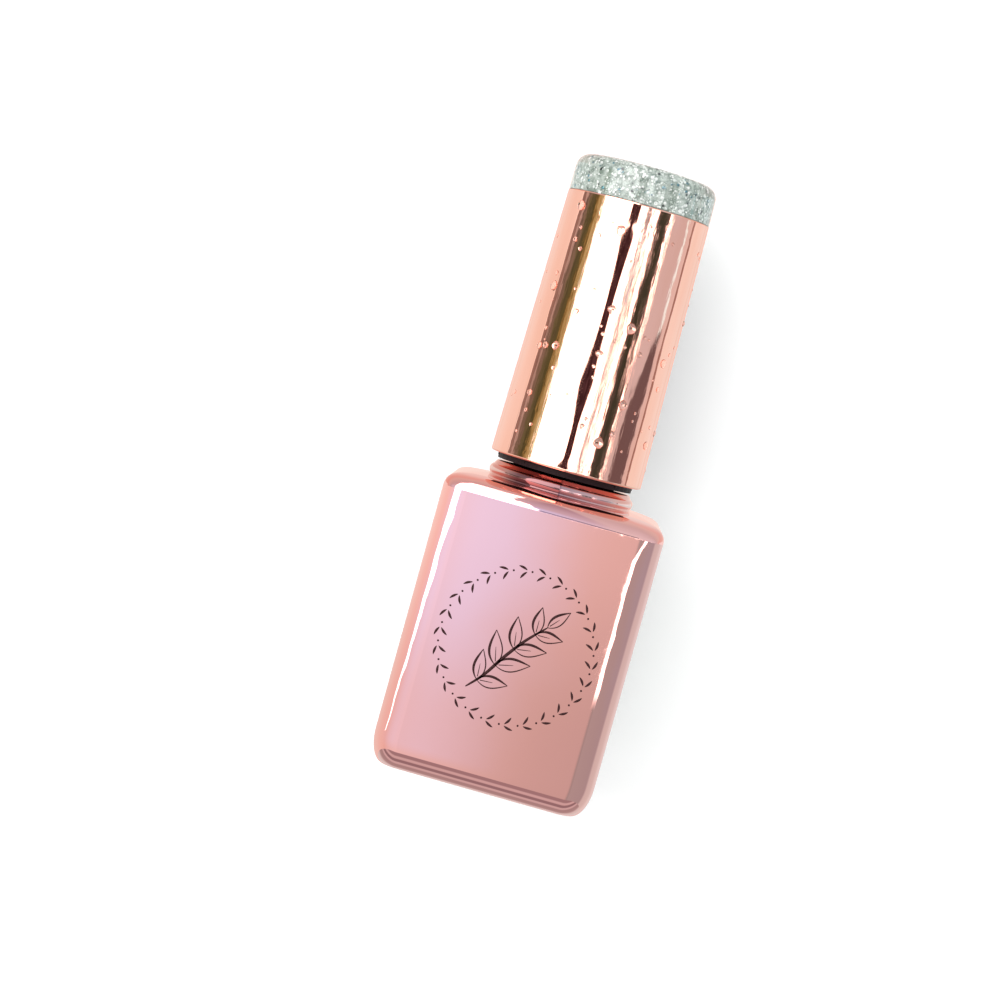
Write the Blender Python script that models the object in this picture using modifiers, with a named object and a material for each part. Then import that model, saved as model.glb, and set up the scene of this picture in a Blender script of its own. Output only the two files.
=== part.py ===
"""Nail polish bottle: a square metallised glass bottle with a screw cap that carries the brush.

Units are metres. +Z runs up the bottle, the origin is the centre of its foot, and the label panel faces -Y.
"""

import math

import bmesh
import bpy

MM = 0.001

# Driving dimensions of the glass, in millimetres.
BODY_HALF = 15.0  # half of the square body's width
EDGE_RADIUS = 3.2  # the four upright edges
HEEL_IN, HEEL_UP = 2.1, 4.5  # how far the foot's edge curves in, and how high that curve starts
SHOULDER_START = 37.8  # where the flat panels end
BEAD_Z, BEAD_RADIUS, BEAD_ROUND = 41.2, 10.05, 0.8  # the round bead of the collar under the cap
COLLAR_TOP = 42.5
NECK_RADIUS = 6.55
LIP_Z = 55.5
BORE_RADIUS = 4.4
CAVITY_HALF, CAVITY_EDGE = 11.5, 2.6
FLOOR_Z = 5.5
FOOT_RECESS_RADIUS, FOOT_RECESS_DEPTH = 8.8, 0.7

# The screw thread.
PITCH = 2.117
THREAD_START, THREAD_TURNS = 46.1, 2.0
THREAD_CREST = 7.3
RIDGE_RADIUS = 0.75  # of the round glass ridge

# The cap.
CAP_RIM, CAP_TOP = 43.6, 85.4
CAP_RIM_RADIUS = 10.5
CAP_TAPER = 0.019  # millimetres of radius lost for each millimetre of height
SLEEVE_WALL = 1.0
SEAM_Z = 80.3  # where the coloured end cap starts
SEAM_GAP = 0.1
CROWN_RADIUS = 1.7  # the end cap's rounded top edge
INNER_CAP_FOOT = 42.8
CEILING_Z = 56.75
FIN_TOP = 74.0
SOCKET_RADIUS = 1.85

# The wand.
STEM_FOOT, STEM_TOP = 21.5, 65.0
STEM_RADIUS = 1.6
TUFT_TIP = 7.0
TUFT_TOP = 24.0

# What is inside the bottle.
FILL_Z = 34.1
BALL_RADIUS, BALL_GAP = 2.0, 0.06  # the gap is under the balls
BALL_PLACES = ((-6.2, 4.0), (5.4, -6.2))

CLEARANCE = 0.2  # between the gel and the glass or the balls
TURN_STEPS = 48
FLAT_STEPS, CORNER_STEPS = 4, 4  # points of a quarter section: half a panel, a corner, half a panel
SHARP_ANGLE = math.radians(35)  # edges sharper than this are not shaded smooth


def clear_scene():
    for obj in list(bpy.data.objects):
        bpy.data.objects.remove(obj)


def collection_named(name):
    made = bpy.data.collections.new(name)
    bpy.context.scene.collection.children.link(made)
    return made


def material(name, colour, roughness, metallic=0.0):
    made = bpy.data.materials.new(name)
    made.use_nodes = True
    shader = made.node_tree.nodes["Principled BSDF"]
    shader.inputs["Base Color"].default_value = (*colour, 1.0)
    shader.inputs["Roughness"].default_value = roughness
    shader.inputs["Metallic"].default_value = metallic
    return made


def object_from(name, shape, collection, finish=None):
    """A new object from a bmesh whose coordinates are in millimetres."""
    bmesh.ops.scale(shape, vec=(MM, MM, MM), verts=shape.verts)
    mesh = bpy.data.meshes.new(name)
    shape.to_mesh(mesh)
    shape.free()
    mesh.shade_smooth()
    mesh.set_sharp_from_angle(angle=SHARP_ANGLE)
    obj = bpy.data.objects.new(name, mesh)
    collection.objects.link(obj)
    if finish:
        mesh.materials.append(finish)
    return obj


def arc(centre_r, centre_z, radius_r, radius_z, start, end, steps):
    """Points (r, z) on an ellipse's arc, angles in degrees from +r towards +z."""
    points = []
    for i in range(steps + 1):
        angle = math.radians(start + (end - start) * i / steps)
        points.append((centre_r + radius_r * math.cos(angle), centre_z + radius_z * math.sin(angle)))
    return points


def turned(name, profile, collection, finish=None, closed=True, steps=TURN_STEPS):
    """A solid of revolution. The profile runs down its outer side; closed joins its last point to its first."""
    shape = bmesh.new()
    points = [shape.verts.new((r, 0, z)) for r, z in profile]
    pairs = list(zip(points, points[1:]))
    if closed:
        pairs.append((points[-1], points[0]))
    for pair in pairs:
        shape.edges.new(pair)
    obj = object_from(name, shape, collection, finish)
    screw = obj.modifiers.new("turn", "SCREW")
    screw.axis = "Z"
    screw.steps = screw.render_steps = steps
    screw.use_merge_vertices = True
    screw.merge_threshold = 1e-6
    screw.use_smooth_shade = True
    return obj


def boolean(obj, cutter, operation):
    modifier = obj.modifiers.new(operation.lower() + "_" + cutter.name, "BOOLEAN")
    modifier.operation = operation
    modifier.object = cutter
    cutter.hide_render = True
    cutter.display_type = "WIRE"


def helix_ridge(name, centre_radius, start_z, turns, ridge, collection):
    """A round ridge along a right-hand helix, tapered off at both ends, as a mesh."""
    per_turn = 32
    count = round(turns * per_turn)
    fade = per_turn / 6
    curve = bpy.data.curves.new(name + "_path", "CURVE")
    curve.dimensions = "3D"
    curve.bevel_depth = ridge * MM
    curve.bevel_resolution = 2
    curve.use_fill_caps = True
    spline = curve.splines.new("POLY")
    spline.points.add(count)
    for i, point in enumerate(spline.points):
        angle = 2 * math.pi * i / per_turn
        x, y = centre_radius * math.cos(angle), centre_radius * math.sin(angle)
        z = start_z + PITCH * i / per_turn
        point.co = (x * MM, y * MM, z * MM, 1)
        point.radius = min(1.0, 0.35 + 0.65 * min(i, count - i) / fade)
    path = bpy.data.objects.new(name + "_path", curve)
    collection.objects.link(path)
    graph = bpy.context.evaluated_depsgraph_get()
    graph.update()
    mesh = bpy.data.meshes.new_from_object(path.evaluated_get(graph))
    shape = bmesh.new()
    shape.from_mesh(mesh)
    bmesh.ops.remove_doubles(shape, verts=shape.verts, dist=1e-6)
    bmesh.ops.recalc_face_normals(shape, faces=shape.faces)
    shape.to_mesh(mesh)
    shape.free()
    obj = bpy.data.objects.new(name, mesh)
    collection.objects.link(obj)
    obj.matrix_world = path.matrix_world
    bpy.data.objects.remove(path)
    return obj


def section_angles():
    """Bearings of a section's points, closer together at the corners."""
    corner_start = math.atan2(BODY_HALF - EDGE_RADIUS, BODY_HALF)
    corner_span = math.pi / 2 - 2 * corner_start
    quarter = [corner_start * i / FLAT_STEPS for i in range(FLAT_STEPS)]
    quarter += [corner_start + corner_span * i / CORNER_STEPS for i in range(CORNER_STEPS)]
    quarter += [math.pi / 2 - corner_start * (FLAT_STEPS - i) / FLAT_STEPS for i in range(FLAT_STEPS)]
    return [side * math.pi / 2 + angle for side in range(4) for angle in quarter]


def reach(half, corner, angle):
    """How far a rounded square's edge lies from its centre at a bearing. It is a circle if corner equals half."""
    across, up = abs(math.cos(angle)), abs(math.sin(angle))
    core = half - corner
    if up * half <= core * across:
        return half / across
    if across * half <= core * up:
        return half / up
    along = core * (across + up)
    return along + math.sqrt(max(0.0, along * along - 2 * core * core + corner * corner))


def lofted(name, sections, collection, finish=None):
    """A closed skin over rounded-square sections (half width, corner radius, z), capped at both ends."""
    shape = bmesh.new()
    rings = []
    for half, corner, z in sections:
        ring = []
        for angle in section_angles():
            distance = reach(half, corner, angle)
            ring.append(shape.verts.new((distance * math.cos(angle), distance * math.sin(angle), z)))
        rings.append(ring)
    for low, high in zip(rings, rings[1:]):
        for i, vertex in enumerate(low):
            shape.faces.new((vertex, low[i - 1], high[i - 1], high[i]))
    shape.faces.new(rings[0])
    shape.faces.new(reversed(rings[-1]))
    bmesh.ops.recalc_face_normals(shape, faces=shape.faces)
    return object_from(name, shape, collection, finish)


def circles(points):
    """Sections that are circles, from (r, z) points."""
    return [(r, r, z) for r, z in points]


def cap_radius(z):
    return CAP_RIM_RADIUS - CAP_TAPER * (z - CAP_RIM)


def bottle_glass(parts, cutters, finish):
    """Foot recess, heel, panels, shoulder, collar, neck and lip, then back down the bore into the cavity."""
    heel = []
    for half, z in reversed(arc(BODY_HALF - HEEL_IN, HEEL_UP, HEEL_IN, HEEL_UP, 0, -90, 5)):
        heel.append((half, EDGE_RADIUS - 0.5 * (BODY_HALF - half), z))
    crown = [
        (BODY_HALF, EDGE_RADIUS, SHOULDER_START),
        (14.9, 3.3, 38.7),
        (14.5, 3.5, 39.35),
        (13.6, 4.2, 39.85),
        (12.2, 6.5, 40.15),
        (10.7, 9.5, 40.35),
    ]
    collar = [(10.0, 40.4)]
    collar += arc(BEAD_RADIUS - BEAD_ROUND, BEAD_Z, BEAD_ROUND, BEAD_ROUND, -45, 65, 5)
    collar += [(9.3, COLLAR_TOP - 0.15), (9.0, COLLAR_TOP)]
    neck = [(NECK_RADIUS + 0.4, COLLAR_TOP + 0.05), (NECK_RADIUS, 43.0), (NECK_RADIUS, 50.0)]
    neck += arc(NECK_RADIUS - 0.5, LIP_Z - 0.5, 0.5, 0.5, 0, 90, 2)
    bore = arc(BORE_RADIUS + 0.4, LIP_Z - 0.4, 0.4, 0.4, 90, 180, 2) + [(BORE_RADIUS, 42.0)]
    ceiling = [
        (4.9, 4.9, 40.4),
        (6.6, 6.4, 39.0),
        (8.9, 7.0, 37.8),
        (10.7, 4.6, 36.6),
        (CAVITY_HALF, CAVITY_EDGE, 35.0),
    ]
    floor = []
    for half, z in arc(CAVITY_HALF - 2.2, FLOOR_Z + 2.2, 2.2, 2.2, 0, -90, 3):
        floor.append((half, CAVITY_EDGE, z))
    recess = circles([(FOOT_RECESS_RADIUS, FOOT_RECESS_DEPTH), (FOOT_RECESS_RADIUS, 0)])
    sections = recess + heel + crown + circles(collar + neck + bore) + ceiling + floor
    glass = lofted("bottle_glass", sections, parts, finish)
    thread = helix_ridge(
        "neck_thread", THREAD_CREST - RIDGE_RADIUS, THREAD_START, THREAD_TURNS, RIDGE_RADIUS, cutters
    )
    boolean(glass, thread, "UNION")
    return glass


def foot_label(parts, finish):
    top, thickness = FOOT_RECESS_DEPTH - 0.1, 0.15
    radius = FOOT_RECESS_RADIUS - 0.5
    profile = [(0, top), (radius, top), (radius, top - thickness), (0, top - thickness)]
    return turned("foot_label", profile, parts, finish, closed=False)


def polish_gel(parts, cutters, finish):
    """The filling: the cavity's shape up to the fill line, less the brush's channel and the balls' dimples."""
    half = CAVITY_HALF - CLEARANCE
    foot = FLOOR_Z + 0.1
    sections = []
    for at, z in reversed(arc(half - 2.2, foot + 2.2, 2.2, 2.2, 0, -90, 3)):
        sections.append((at, CAVITY_EDGE, z))
    sections.append((half, CAVITY_EDGE, FILL_Z))
    gel = lofted("polish_gel", sections, parts, finish)
    channel_foot, channel_radius = TUFT_TIP - 0.6, 2.4
    profile = [(0, FILL_Z + 2), (channel_radius, FILL_Z + 2), (channel_radius, channel_foot), (0, channel_foot)]
    channel = turned("brush_channel", profile, cutters, closed=False, steps=24)
    boolean(gel, channel, "DIFFERENCE")
    for number, (x, y) in enumerate(BALL_PLACES, 1):
        dimple = ball(f"dimple_{number}", BALL_RADIUS + CLEARANCE, x, y, cutters)
        boolean(gel, dimple, "DIFFERENCE")
    return gel


def ball(name, radius, x, y, collection, finish=None):
    shape = bmesh.new()
    bmesh.ops.create_uvsphere(shape, u_segments=16, v_segments=10, radius=radius)
    obj = object_from(name, shape, collection, finish)
    obj.location = (x * MM, y * MM, (FLOOR_Z + BALL_GAP + BALL_RADIUS) * MM)
    return obj


def sealing_liner(parts, finish):
    """A soft ring that the cap presses on the glass lip."""
    foot, top = LIP_Z + 0.1, CEILING_Z - 0.1
    inner, outer = 2.45, 6.4
    profile = [(outer, top), (outer, foot), (inner, foot), (inner, top)]
    return turned("sealing_liner", profile, parts, finish, steps=32)


def brush_stem(parts, finish):
    """The wand: a collar under the cap's ceiling, a snap bead above it and a blind hole for the tuft."""
    hole, hole_top = 1.0, TUFT_TOP + 2.2
    profile = [(0, STEM_TOP), (1.2, STEM_TOP), (STEM_RADIUS - 0.1, STEM_TOP - 0.4)]
    profile += [(1.5, 62.7), (1.95, 62.3), (1.95, 61.8), (1.5, 61.4)]
    profile += [(1.5, 56.6), (2.25, 56.6), (2.25, 55.2), (STEM_RADIUS, 54.6)]
    profile += [(STEM_RADIUS, 40.0), (1.4, STEM_FOOT + 0.6), (1.25, STEM_FOOT)]
    profile += [(hole, STEM_FOOT), (hole, hole_top), (0, hole_top + 0.4)]
    return turned("brush_stem", profile, parts, finish, closed=False, steps=24)


def bristle_anchor(parts, finish):
    """The bent wire that holds the folded bristles in the stem."""
    half_width, foot, bend = 0.42, TUFT_TOP + 0.15, TUFT_TOP + 1.2
    path = [(-half_width, foot), (-half_width, bend)]
    path += arc(0, bend, half_width, 0.35, 180, 0, 6)[1:-1]
    path += [(half_width, bend), (half_width, foot)]
    curve = bpy.data.curves.new("bristle_anchor", "CURVE")
    curve.dimensions = "3D"
    curve.bevel_depth = 0.17 * MM
    curve.bevel_resolution = 2
    curve.use_fill_caps = True
    spline = curve.splines.new("POLY")
    spline.points.add(len(path) - 1)
    for point, (x, z) in zip(spline.points, path):
        point.co = (x * MM, 0, z * MM, 1)
    obj = bpy.data.objects.new("bristle_anchor", curve)
    parts.objects.link(obj)
    curve.materials.append(finish)
    return obj


def brush_bristles(parts, finish):
    """The nylon tuft as one closed form: round at the root, spread flat towards a rounded tip."""
    flatness = 0.62
    profile = [(0, TUFT_TOP), (0.88, TUFT_TOP), (0.88, STEM_FOOT), (1.2, 18.0), (1.6, 14.0), (1.9, 10.5)]
    profile += arc(0.7, TUFT_TIP + 1.6, 1.2, 1.6, 0, -90, 4)
    profile += [(0, TUFT_TIP)]
    obj = turned("brush_bristles", profile, parts, finish, closed=False, steps=20)
    obj.scale.y = flatness
    return obj


def inner_cap(parts, cutters, finish):
    """The threaded cup that turns on the neck, with the wand's socket and the fins that hold the sleeve."""
    wall_radius, bore_radius = 8.6, 7.95
    plate_top = CEILING_Z + 1.6
    tower_radius, tower_top = 3.1, FIN_TOP + 0.6
    skirt = 9.35
    profile = [(0, STEM_TOP + 1.5), (SOCKET_RADIUS, STEM_TOP + 1.5), (SOCKET_RADIUS + 0.2, tower_top)]
    profile += [(tower_radius, tower_top), (tower_radius, plate_top), (wall_radius, plate_top)]
    profile += [(wall_radius, INNER_CAP_FOOT + 1.0), (skirt, INNER_CAP_FOOT + 0.7)]
    profile += [(skirt, INNER_CAP_FOOT), (bore_radius, INNER_CAP_FOOT)]
    profile += [(bore_radius, CEILING_Z), (SOCKET_RADIUS, CEILING_Z), (SOCKET_RADIUS, 61.2)]
    profile += [(SOCKET_RADIUS + 0.3, 61.5), (SOCKET_RADIUS + 0.3, 62.6), (SOCKET_RADIUS, 62.9)]
    profile += [(SOCKET_RADIUS, STEM_TOP + 0.3), (0, STEM_TOP + 0.3)]
    cup = turned("inner_cap", profile, parts, finish, closed=False)
    ridge = 0.52
    thread = helix_ridge(
        "cap_thread", THREAD_CREST + 0.1 + ridge, THREAD_START + PITCH / 2, 1.25, ridge, cutters
    )
    boolean(cup, thread, "UNION")
    fins = 8
    for number in range(fins):
        boolean(cup, cap_fin(f"fin_{number + 1}", 2 * math.pi * number / fins, cutters), "UNION")
    return cup


def cap_fin(name, bearing, collection):
    """One upright fin of the inner cap, from its tower out to just inside the sleeve."""
    half_thickness = 0.5
    foot, step = INNER_CAP_FOOT + 0.35, CEILING_Z + 0.8
    in_wall, in_tower = 8.28, 2.6
    outline = [(in_wall, foot), (cap_radius(foot) - SLEEVE_WALL - SEAM_GAP, foot)]
    outline += [(cap_radius(FIN_TOP) - SLEEVE_WALL - SEAM_GAP, FIN_TOP), (in_tower, FIN_TOP)]
    outline += [(in_tower, step), (in_wall, step)]
    shape = bmesh.new()
    face = shape.faces.new([shape.verts.new((r, -half_thickness, z)) for r, z in outline])
    grown = bmesh.ops.extrude_face_region(shape, geom=[face])["geom"]
    moved = [item for item in grown if isinstance(item, bmesh.types.BMVert)]
    bmesh.ops.translate(shape, verts=moved, vec=(0, 2 * half_thickness, 0))
    bmesh.ops.recalc_face_normals(shape, faces=shape.faces)
    obj = object_from(name, shape, collection)
    obj.rotation_euler.z = bearing + 0.1
    return obj


def cap_sleeve(parts, finish):
    """The long tapered outer tube, with softened rims."""
    top = SEAM_Z - SEAM_GAP
    soft = 0.25
    profile = [(cap_radius(top), top)]
    profile += arc(CAP_RIM_RADIUS - soft, CAP_RIM + soft, soft, soft, 0, -90, 3)
    profile += [(CAP_RIM_RADIUS - SLEEVE_WALL + 0.15, CAP_RIM), (CAP_RIM_RADIUS - SLEEVE_WALL, CAP_RIM + 0.3)]
    profile += [(cap_radius(top) - SLEEVE_WALL, top)]
    return turned("cap_sleeve", profile, parts, finish, steps=64)


def colour_end_cap(parts, finish):
    """The coloured end cap: a rounded crown and a plug that presses into the sleeve."""
    side = cap_radius(SEAM_Z)
    plate = 1.8
    plug_radius, plug_wall, plug_foot = 8.65, 1.1, SEAM_Z - 4.0
    crown_z = CAP_TOP - CROWN_RADIUS
    rim = cap_radius(crown_z)
    profile = [(0, CAP_TOP)]
    profile += arc(rim - CROWN_RADIUS, crown_z, CROWN_RADIUS, CROWN_RADIUS, 90, 0, 6)
    profile += [(side, SEAM_Z), (plug_radius, SEAM_Z), (plug_radius, plug_foot + 0.4)]
    profile += [(plug_radius - 0.4, plug_foot), (plug_radius - plug_wall, plug_foot)]
    profile += [(plug_radius - plug_wall, CAP_TOP - plate), (0, CAP_TOP - plate)]
    return turned("colour_end_cap", profile, parts, finish, closed=False, steps=64)


def build():
    clear_scene()
    parts = collection_named("nail_polish_bottle")
    cutters = collection_named("cutters")

    rose_glass = material("rose_metallised_glass", (0.79, 0.42, 0.38), 0.12, metallic=0.9)
    rose_chrome = material("rose_gold_chrome", (0.94, 0.54, 0.44), 0.05, metallic=1.0)
    sage = material("sage_glitter", (0.52, 0.60, 0.55), 0.15)
    black_plastic = material("black_plastic", (0.02, 0.018, 0.018), 0.4)
    foam = material("white_foam", (0.85, 0.85, 0.83), 0.8)
    nylon = material("dark_nylon", (0.05, 0.035, 0.03), 0.45)
    steel = material("polished_steel", (0.62, 0.62, 0.62), 0.12, metallic=1.0)
    paper = material("white_paper", (0.88, 0.87, 0.85), 0.7)
    gel = material("glitter_gel", (0.50, 0.58, 0.53), 0.1)

    bottle_glass(parts, cutters, rose_glass)
    foot_label(parts, paper)
    polish_gel(parts, cutters, gel)
    for number, (x, y) in enumerate(BALL_PLACES, 1):
        ball(f"mixing_ball_{number}", BALL_RADIUS, x, y, parts, steel)
    sealing_liner(parts, foam)
    brush_stem(parts, black_plastic)
    bristle_anchor(parts, steel)
    brush_bristles(parts, nylon)
    inner_cap(parts, cutters, black_plastic)
    cap_sleeve(parts, rose_chrome)
    colour_end_cap(parts, sage)


build()
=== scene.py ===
"""Looks of a square nail polish bottle: rose mirror glass, a mirror cap with a glitter end, and its brush.

Laid out as a Blender add-on and run as a script. Lengths are in millimetres, except in properties, which are
in metres. The bottle stands on its foot at the origin with its front panel facing -Y.
"""

import math
import random

import bmesh
import bpy
from mathutils import Matrix, Vector, noise


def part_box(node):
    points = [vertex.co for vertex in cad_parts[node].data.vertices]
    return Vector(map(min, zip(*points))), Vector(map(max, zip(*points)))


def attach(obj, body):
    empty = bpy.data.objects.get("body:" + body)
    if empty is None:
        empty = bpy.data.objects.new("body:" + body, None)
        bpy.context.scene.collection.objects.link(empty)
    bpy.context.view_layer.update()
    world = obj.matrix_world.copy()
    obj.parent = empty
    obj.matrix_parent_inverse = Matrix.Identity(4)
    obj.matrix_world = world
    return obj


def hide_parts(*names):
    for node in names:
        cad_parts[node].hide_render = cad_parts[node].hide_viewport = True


bl_info = {
    "name": "Nail Polish Bottle",
    "version": (1, 0, 0),
    "blender": (4, 5, 0),
    "location": "View3D > Sidebar > Polish Bottle",
    "description": "Builds a square polish bottle with a mirror cap, its brush and a soft studio around it",
    "category": "Add Mesh",
}

MM = 0.001
MICRON = 0.000001

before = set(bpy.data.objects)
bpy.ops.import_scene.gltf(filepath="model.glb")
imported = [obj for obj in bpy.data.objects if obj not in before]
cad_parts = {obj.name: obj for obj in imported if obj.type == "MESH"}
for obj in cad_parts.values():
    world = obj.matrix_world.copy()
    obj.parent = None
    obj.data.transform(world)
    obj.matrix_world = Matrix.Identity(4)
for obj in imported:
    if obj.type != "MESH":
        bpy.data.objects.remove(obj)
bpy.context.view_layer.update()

# The outside of the glass. SHOULDER has half widths, corner radii and heights from the panels to the collar.
# The collar's and the neck's tables have radii and heights.
BODY_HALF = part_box("bottle_glass")[1].x / MM
EDGE_RADIUS = 3.2
HEEL_IN, HEEL_UP = 2.1, 4.5
HEEL_EDGE_SHARE = 0.5  # the upright edges' radius shrinks by this share of what the heel draws in
PANEL_RINGS = (HEEL_UP + 0.3, 12.0, 20.0, 28.0, 36.0)  # heights
SHOULDER = (
    (15.0, 3.2, 37.95),
    (14.93, 3.25, 38.45),
    (14.72, 3.35, 38.95),
    (14.3, 3.6, 39.42),
    (13.5, 4.3, 39.82),
    (12.2, 6.5, 40.13),
    (10.7, 9.5, 40.35),
)
COLLAR_FOOT = ((10.15, 40.37), (9.9, 40.46))
COLLAR_BEAD_Z, COLLAR_BEAD_RADIUS, COLLAR_BEAD_ROUND = 41.2, 10.05, 0.8
COLLAR_TOP = 42.5
COLLAR_RIM = ((9.4, COLLAR_TOP - 0.25), (9.25, COLLAR_TOP - 0.06), (9.0, COLLAR_TOP))
NECK_RADIUS = 6.55
NECK_FOOT = (
    (NECK_RADIUS + 0.6, COLLAR_TOP + 0.02),
    (NECK_RADIUS + 0.25, COLLAR_TOP + 0.1),
    (NECK_RADIUS, 43.0),
)
COAT_TOP = 44.8  # the neck is bare glass above this
RECESS_RADIUS, RECESS_DEPTH, RECESS_ROUND = 8.8, 0.7, 0.2

# The screw thread on the neck.
PITCH = 2.117
THREAD_START, THREAD_TURNS = 46.1, 2.0
THREAD_MARGIN, THREAD_RINGS = 0.1, 60
RIDGE_RADIUS = 0.75

# The lip and the inside of the glass. CAVITY_SHOULDER has the same three columns as SHOULDER.
LIP_Z, LIP_OUTER_ROUND, LIP_INNER_ROUND = 55.5, 0.5, 0.4
BORE_RADIUS, BORE_FOOT = 4.4, 42.0
CAVITY_SHOULDER = ((4.9, 4.9, 40.4), (6.6, 6.4, 39.0), (8.9, 7.0, 37.8), (10.7, 4.6, 36.6))
CAVITY_HALF, CAVITY_EDGE, CAVITY_TOP = 11.5, 2.6, 35.0
FLOOR_Z, FLOOR_ROUND = 5.5, 2.2

# The cap.
CAP_RIM, CAP_TOP = 43.6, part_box("colour_end_cap")[1].z / MM
CAP_TAPER = 0.019
SLEEVE_WALL = 1.0
SLEEVE_RIM_ROUND, SLEEVE_INNER_ROUND, SLEEVE_TOP_ROUND = 0.25, 0.15, 0.1
SLEEVE_RINGS = (76.0, 70.0, 64.0, 58.0, 52.0, 46.0)  # heights
SEAM_Z, SEAM_GAP = 80.3, 0.1
CROWN_RADIUS = 1.7
PLUG_RADIUS, PLUG_WALL, PLUG_LENGTH, PLUG_BEVEL = 8.65, 1.1, 4.0, 0.4
PLATE = 1.8  # thickness of the end cap's top

# The glitter. The flakes lie within GLOSS_DEPTH of the surface, and GLOSS_WALL is the clear shell over them.
GLOSS_DEPTH, GLOSS_WALL = 0.16, 0.02
FLAKE_HALF_THICKNESS = 0.006
FLAKE_TILT = 0.10
FLAKE_SIZES = ((0.60, 0.05, 0.11), (0.90, 0.12, 0.20), (1.0, 0.20, 0.28))  # chance up to, and radii
FLAKE_WHITE, FLAKE_SAGE, FLAKE_TEAL, FLAKE_BLACK = range(4)
BLACK_CHANCE, TEAL_CHANCE, TEAL_PATCH_CHANCE, SAGE_CHANCE = 0.045, 0.055, 0.3, 0.34  # each counts from 0

# The water beads, sunk a little into the sleeve.
LARGE_BEADS = (
    (-1.5, 76.2, 0.62),
    (0.15, 65.9, 0.56),
    (3.3, 64.2, 0.69),
    (5.0, 54.2, 0.62),
    (0.2, 59.8, 0.50),
    (-5.7, 59.4, 0.54),
    (-8.1, 67.0, 0.62),
    (8.7, 60.9, 0.56),
    (9.4, 49.7, 0.50),
    (-7.4, 78.2, 0.67),
    (3.2, 48.6, 0.67),
    (-7.8, 58.9, 0.47),
)  # distance to the side, height and radius
SMALL_BEAD_RADII = (0.16, 0.2, 0.24, 0.28, 0.34, 0.4)
BEAD_SUNK, BEAD_LIFT = 0.03, 0.6  # BEAD_LIFT is a bead's height over its radius

# The brush. TUFT_WIDTHS has heights and half widths.
TUFT_TOP, TUFT_TIP = 24.0, 7.0
TUFT_WIDTHS = ((TUFT_TIP, 1.75), (10.5, 1.82), (14.0, 1.54), (18.0, 1.14), (21.5, 0.82), (TUFT_TOP, 0.80))
TUFT_FLATNESS = 0.62
TIP_ROUND, TIP_SPREAD = 1.7, 0.25

SHARP_ANGLE = math.radians(32)
ON_AXIS = 1e-6


def linear(colour):
    """A colour given as 0 to 255 screen values, as linear light."""
    made = []
    for value in colour:
        share = value / 255
        made.append(share / 12.92 if share <= 0.04045 else ((share + 0.055) / 1.055) ** 2.4)
    return tuple(made)


ROSE = linear((250, 186, 166))
COAT = linear((248, 183, 174))

# Light for reflections is 1 where a mirror shows its own colour. This is enough to show it white.
WHITE_CARD = (4.0, 4.0, 4.0)


def card(*colour, tint=ROSE, side=0.0):
    """The light that makes the rose mirror show a colour, which is given as 0 to 255 screen values.

    A round mirror loses its tint towards its outline, where side goes to 1.
    """
    grazing = (1 - math.sqrt(1 - side * side)) ** 5
    return tuple(value / (share + (1 - share) * grazing) for value, share in zip(linear(colour), tint))


def coat_card(*colour, side=0.0):
    """The same for the mirror coat on the glass."""
    return card(*colour, tint=COAT, side=side)


# ---------------------------------------------------------------- settings


class BottleSettings(bpy.types.PropertyGroup):
    """The glass, its coat and its print."""

    body_half: bpy.props.FloatProperty(
        name="Half width",
        description="Half of the square body's width",
        default=BODY_HALF * MM,
        unit="LENGTH",
    )
    edge_radius: bpy.props.FloatProperty(
        name="Edge radius",
        description="Radius of the upright edges",
        default=EDGE_RADIUS * MM,
        unit="LENGTH",
    )
    coat_colour: bpy.props.FloatVectorProperty(
        name="Coat",
        description="Colour of the mirror coat",
        default=COAT,
        subtype="COLOR",
        min=0,
        max=1,
    )
    pearl_colour: bpy.props.FloatVectorProperty(
        name="Pearl",
        description="Colour that the coat turns to on one side of each panel",
        default=linear((246, 205, 224)),
        subtype="COLOR",
        min=0,
        max=1,
    )
    print_height: bpy.props.FloatProperty(
        name="Print height", description="Height of the print's centre", default=19.9 * MM, unit="LENGTH"
    )
    print_radius: bpy.props.FloatProperty(
        name="Print radius", description="Radius of the wreath", default=10.2 * MM, unit="LENGTH"
    )


class CapSettings(bpy.types.PropertyGroup):
    """The sleeve, the glitter end cap and the water beads."""

    rim_radius: bpy.props.FloatProperty(
        name="Rim radius",
        description="Outer radius of the sleeve's rim",
        default=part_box("cap_sleeve")[1].x,
        unit="LENGTH",
    )
    sleeve_colour: bpy.props.FloatVectorProperty(
        name="Sleeve", description="Colour of the mirror sleeve", default=ROSE, subtype="COLOR", min=0, max=1
    )
    resin_colour: bpy.props.FloatVectorProperty(
        name="Resin",
        description="Ground colour under the glitter",
        default=linear((160, 172, 161)),
        subtype="COLOR",
        min=0,
        max=1,
    )
    flake_count: bpy.props.IntProperty(
        name="Flakes", description="Number of glitter flakes in the end cap", default=3400, min=0
    )
    bead_count: bpy.props.IntProperty(
        name="Water beads", description="Number of small water beads on the sleeve", default=110, min=0
    )


class BrushSettings(bpy.types.PropertyGroup):
    """The bristle tuft."""

    bristle_count: bpy.props.IntProperty(
        name="Bristles", description="Number of nylon bristles", default=260, min=1
    )
    bristle_radius: bpy.props.FloatProperty(
        name="Bristle radius", description="Radius of one bristle", default=0.06 * MM, unit="LENGTH"
    )


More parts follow.
